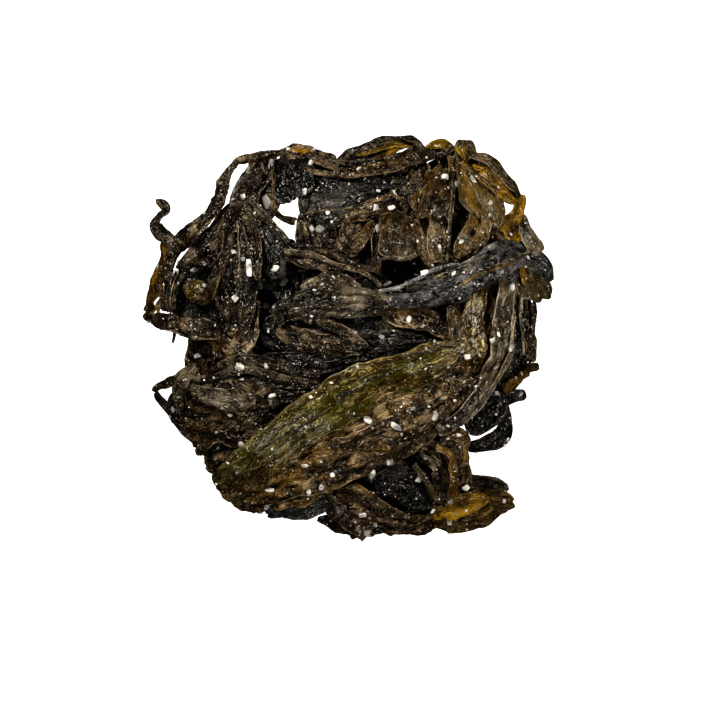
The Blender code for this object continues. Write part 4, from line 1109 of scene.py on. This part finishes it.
# %% [markdown]
# ## Salt
# The bundle was packed in salt, and it still holds some: a few coarse crystals, many small ones, and a
# fine dust of specks. A crystal is a cube that was worn and broken, so a bevelled cube with its corners
# pushed about is modelled once for each size, and copied with its own size, turn and place. The places
# are found by looking at the bundle from outside along a random line and stopping where it is met.


# %% Salt materials
def salt_material(name, body, grey, roughness):
    """A cloudy crystal, grey where it is wet or dirty."""
    material = bpy.data.materials.new(name)
    material.use_nodes = True
    tree = material.node_tree
    shader = tree.nodes["Principled BSDF"]
    place_of = add_node(tree, "ShaderNodeTexCoord").outputs["Object"]
    cloudy = noise_node(tree, place_of, 420.0, detail=2.0)
    colour = mixed(tree, ranged(tree, cloudy, 0.4, 0.6), grey, body)
    colour = mixed(tree, attribute(tree, "shade"), grey, colour)
    tree.links.new(colour, shader.inputs["Base Color"])
    tree.links.new(ranged(tree, cloudy, 0.3, 0.7, roughness, roughness + 0.2), shader.inputs["Roughness"])
    shader.inputs["IOR"].default_value = 1.54
    bump = add_node(tree, "ShaderNodeBump", Strength=0.4, Distance=0.08 * MM)
    tree.links.new(noise_node(tree, place_of, 1500.0), bump.inputs["Height"])
    tree.links.new(bump.outputs["Normal"], shader.inputs["Normal"])
    return material


COARSE_SALT = salt_material("coarse_salt", daylight(248, 247, 244), daylight(124, 124, 122), 0.3)
FINE_SALT = salt_material("fine_salt", daylight(210, 204, 192), daylight(100, 95, 84), 0.45)
print("salt materials:", COARSE_SALT.name, FINE_SALT.name)

# %% Crystals
SKEW, CORNER_PUSH, SUNK_SHARE = 0.25, 0.24, 0.14
SIGHT_SPAN, SIGHT_LEVEL, LOWEST_SALT = 46, 17, 0.6


def crystal_shape(bevel):
    """The corners and faces of a worn cube, one unit across."""
    bpy.ops.mesh.primitive_cube_add(size=1)
    block = bpy.context.object
    if bevel:
        worn = block.modifiers.new("worn", "BEVEL")
        worn.width, worn.segments = bevel, 1
        bpy.ops.object.modifier_apply(modifier="worn")
    corners = coordinates(block.data)
    faces = [tuple(face.vertices) for face in block.data.polygons]
    bpy.data.objects.remove(block)
    return corners, faces


def scatter(name, shape, spots, material, draws):
    """One mesh of many crystals: each spot is a place, a normal, length, width, heading and shade."""
    corners, faces = shape
    all_corners, all_faces, shades = [], [], []
    for where, normal, long, wide, heading, shade in spots:
        skew = np.eye(3) + draws.uniform(-SKEW, SKEW, (3, 3))
        block = (corners * (1 + draws.uniform(-CORNER_PUSH, CORNER_PUSH, corners.shape))) @ skew
        block = block * np.array([long, wide, wide * draws.uniform(0.6, 0.9)]) * MM
        lie = UP.rotation_difference(normal).to_matrix()
        spin = Matrix.Rotation(heading, 3, "Z") @ Matrix.Rotation(draws.uniform(-0.3, 0.3), 3, "X")
        block = block @ np.array(lie @ spin).T + np.array(where + normal * wide * MM * SUNK_SHARE)
        first = len(all_corners) * len(corners)
        all_corners.append(block)
        all_faces += [tuple(first + v for v in face) for face in faces]
        shades += [shade] * len(corners)
    mesh = bpy.data.meshes.new(name)
    mesh.from_pydata(np.concatenate(all_corners).tolist(), [], all_faces)
    mesh.materials.append(material)
    store(mesh, "shade", np.array(shades, float))
    mesh.update()
    piece = bpy.data.objects.new(name, mesh)
    bpy.context.scene.collection.objects.link(piece)
    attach(piece, "root")
    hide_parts(NODE)
    print(f"{name}: {len(spots)} crystals, {len(all_faces)} faces")


def sight_line(draws, sideways):
    """A random line towards the bundle, from outside."""
    bearing = draws.uniform(0, math.tau)
    rise = math.asin(draws.uniform(-0.35, 1.0)) if sideways else math.pi / 2
    level = math.cos(rise)
    away = Vector((level * math.cos(bearing), level * math.sin(bearing), math.sin(rise)))
    turn = draws.uniform(0, math.tau)
    span = SIGHT_SPAN * MM * math.sqrt(draws.uniform(0, 1))
    first = away.orthogonal().normalized()
    across = first * math.cos(turn) + away.cross(first) * math.sin(turn)
    return Vector((0, 0, SIGHT_LEVEL * MM)) + away * 0.1 + across * span, away


def salt_spots(count, spread, size_of, draws):
    """Places where salt lies: most of it near the cluster lines, the rest anywhere."""
    spots = []
    while len(spots) < count:
        if draws.random() < CLUSTERED:
            start, away = clusters[draws.integers(len(clusters))]
            start = start + Vector(draws.normal(0, spread * MM, 3))
        else:
            start, away = sight_line(draws, draws.random() > SALT_ON_TOP)
        where, normal = surface.ray_cast(start, -away)[:2]
        if where is None or where.z < LOWEST_SALT * MM:
            continue
        size = size_of(draws)
        shade = draws.random() ** 1.3
        wide, heading = size * draws.uniform(0.6, 0.95), draws.uniform(0, math.tau)
        spots.append((where, normal, size, wide, heading, shade))
    return spots


# %% [markdown]
# The coarse crystals that catch the eye are set where they lie on the plan: x, y, length, width, heading
# in degrees and brightness. All other salt is scattered: more of it on top, where it fell, than on the
# flanks, and mostly in clusters.

# %% Coarse, small and fine salt
SHOWN_CRYSTALS = numbers("""
-21 14.8 3.4 1.6 88 1, -24 8.3 1.6 1.3 120 1, -15.3 14.8 1.5 1.2 60 .9, -10 14.2 1.7 1 0 .8,
-13.7 11.9 2.2 1.3 55 .3, -17.5 6.7 1.5 1.4 0 .9, -15.7 6.4 .7 .6 0 .8, -33.5 14.7 1.6 1.2 30 .7,
-37 14.6 1.4 .9 -30 1, -30.8 11 1 .9 0 1, -16.5 37.7 2.2 1.1 85 1, -21.5 36.3 1.7 .8 90 1,
-22.5 30.4 1.6 .9 110 .8, -17.3 29.5 2.6 1.5 110 .1, -24.5 18.3 1.2 1 20 .9, -22.3 16.8 1 .8 0 .8,
-4 26.9 1.2 .9 0 .9, -7.5 23.3 1.3 1 30 .3, -5.7 23.2 1.7 1.3 -40 .1, -9.1 31.4 1.2 .8 80 .8,
-7.8 37.7 1.5 1 70 .6, 2.5 36.4 1 .7 30 1, -12.8 41.1 .9 .8 0 .7, 6.5 23.3 1.8 .7 85 .5,
6.3 27.9 1.2 1 0 1, 9.5 27.8 1.4 .9 10 1, 6.8 31.6 .9 .7 0 .9, 21.3 34.8 1.3 1.2 0 .9,
24 33.5 1.9 1 75 1, 27.6 34.4 1.8 1.1 115 1, 20 19 1.8 .9 95 1, 31.3 29.2 1.1 .8 -30 .7,
24.7 20.6 .9 .8 0 .7, 16.7 13.8 2.3 1.2 10 1, 23 13.6 1.4 .9 10 1, 8.8 11.5 1.6 .7 25 1,
35.7 10.8 1.7 1 90 1, 39.6 17.4 1.2 .7 100 .9, 13.3 3.8 1.3 1.1 60 .9, 7.5 0 1.5 .8 -45 .4,
32.7 .6 1 .9 0 1, 31.4 -.7 1.2 1 20 1, 27 -.7 1 .8 0 .8, 26 -4.3 2 1.4 20 .7, 35.5 -2.4 1.4 1.1 30 .9,
-23 -6.4 2.8 1.1 -15 .5, -17.3 -6.2 1.6 .9 -60 .8, -32.6 -4.1 1.6 1.1 0 .8, -16 -12.6 1.6 1.1 10 .9,
-38.2 -15.8 1.3 1 60 .2, -25.2 -16.8 1.2 1 -30 .7, -22.7 -23.4 1.6 1.1 -60 .9, -28 -24 .9 .6 0 .7,
-16.5 -33.3 2 1.1 -5 .9, -17.4 -36.8 1.8 .8 75 .6, -9 -27.7 1.5 1 20 .8, -8.2 -33.5 1.2 1 30 .8,
-5.5 -32.4 .9 .8 0 .8, -3 -29.6 .9 .8 0 .9, 5.5 -29.8 1.8 1.5 30 1, 4.6 -18 2.3 1.3 -35 1,
10.6 -19.2 1.9 1.3 -25 .9, 14.2 -15.4 1 .9 0 1, 19 -17 2 1.1 70 1, 9.3 -27 1.4 1.2 20 1,
15.5 -30.8 1.3 1.1 80 .9, 24 -21.2 1.2 .9 10 .9, 26 -32.8 1.5 1.2 40 .9, 22.6 -35.6 1.5 1.1 80 .7,
22.4 -40.6 1 .9 0 .7, 3.3 -38.5 1.6 1.4 20 .7, 4.5 -42.4 1.9 1.4 70 .5, 6 -40.9 1.2 .9 90 .5,
18.9 -37.7 1.6 .8 70 .9, 34.5 -35.9 1.2 .8 90 .6, 32.5 -12.2 1 .9 0 .9, 38 -12.3 1 .8 0 .3
""")
SMALL_CRYSTALS, FINE_SPECKS, CLUSTERS = 1000, 4200, 190
CLUSTERED, SALT_ON_TOP = 0.55, 0.5
salt_draws = np.random.default_rng(5)

coarse = []
for x, y, long, wide, heading, shade in SHOWN_CRYSTALS:
    where, normal = from_above(x, y)
    if where is not None:
        upward = (normal + 2 * UP).normalized()
        coarse.append((where, upward, 0.88 * long, wide, math.radians(heading), 0.8 * shade))
scatter("coarse_salt", crystal_shape(0.19), coarse, COARSE_SALT, salt_draws)

clusters = [sight_line(salt_draws, k > SALT_ON_TOP * CLUSTERS) for k in range(CLUSTERS)]
small = salt_spots(SMALL_CRYSTALS, 1.6, lambda draws: 0.26 + 0.45 * draws.random() ** 2.5, salt_draws)
scatter("small_salt", crystal_shape(0.22), small, COARSE_SALT, salt_draws)
specks = salt_spots(FINE_SPECKS, 2.2, lambda draws: 0.08 + 0.18 * draws.random() ** 2, salt_draws)
scatter("fine_salt", crystal_shape(0), specks, FINE_SALT, salt_draws)

# %% [markdown]
# ## Floor, light and camera
# The bundle lies on a plain white floor, seen from straight above through a long lens. Three soft boxes
# from the sides draw bright lines along the wrinkles, and a weak light overhead reaches the hollows. The
# floor is hidden from the light that the fronds mirror, and the world is dim, because both would turn
# the black skin grey.

# %% Floor
bpy.ops.mesh.primitive_plane_add(size=4)
floor = bpy.context.object
floor.name = "floor"
white = bpy.data.materials.new("white_floor")
white.use_nodes = True
paper = white.node_tree.nodes["Principled BSDF"]
paper.inputs["Base Color"].default_value = (0.3, 0.3, 0.3, 1)
paper.inputs["Roughness"].default_value = 0.9
paper.inputs["Specular IOR Level"].default_value = 0.0
paper.inputs["Emission Color"].default_value = (1, 1, 1, 1)
paper.inputs["Emission Strength"].default_value = 0.95
floor.data.materials.append(white)
floor.visible_diffuse = False
floor.visible_glossy = False
print("floor:", floor.dimensions[0], "m across")

# %% Lights and camera
LIGHT_COLOUR = (1.0, 0.94, 0.84)
# name, place in m, size in m, power in W
LIGHTS = (
    ("overhead", (0.0, 0.1, 0.9), 0.3, 0.27),
    ("left_box", (-0.34, 0.48, 0.6), 0.36, 7.4),
    ("right_box", (0.62, 0.05, 0.5), 0.28, 3.4),
    ("front_box", (-0.15, -0.6, 0.5), 0.3, 1.8),
)
for name, stand, size, power in LIGHTS:
    bpy.ops.object.light_add(type="AREA", location=stand)
    light = bpy.context.object
    light.name = name
    light.data.shape = "SQUARE"
    light.data.size = size
    light.data.energy = power
    light.data.color = LIGHT_COLOUR
    light.rotation_euler = Vector(stand).to_track_quat("Z", "Y").to_euler()

world = bpy.data.worlds.new("dim_room")
world.use_nodes = True
sky = world.node_tree.nodes["Background"]
sky.inputs["Color"].default_value = (1, 1, 1, 1)
sky.inputs["Strength"].default_value = 0.03
bpy.context.scene.world = world

PIXEL = 0.22
PICTURE = 720
LENS, SENSOR = 200.0, 36.0
SHARP_LEVEL = 13 * MM
PLAN_MIDDLE = (347, 337.5)
distance = PICTURE * PIXEL * MM * LENS / SENSOR + SHARP_LEVEL
aim_x = (PICTURE / 2 - PLAN_MIDDLE[0]) * PIXEL - BOX_MIDDLE[0]
aim_y = (PLAN_MIDDLE[1] - PICTURE / 2) * PIXEL - BOX_MIDDLE[1]
bpy.ops.object.camera_add(location=(aim_x * MM, aim_y * MM, distance), rotation=(0, 0, 0))
camera = bpy.context.object
camera.data.lens, camera.data.sensor_width = LENS, SENSOR
camera.data.clip_end = 10
bpy.context.scene.camera = camera
bpy.context.scene.view_settings.view_transform = "Standard"
bpy.context.scene.view_settings.look = "High Contrast"
print("camera height:", round(distance, 3), "m")
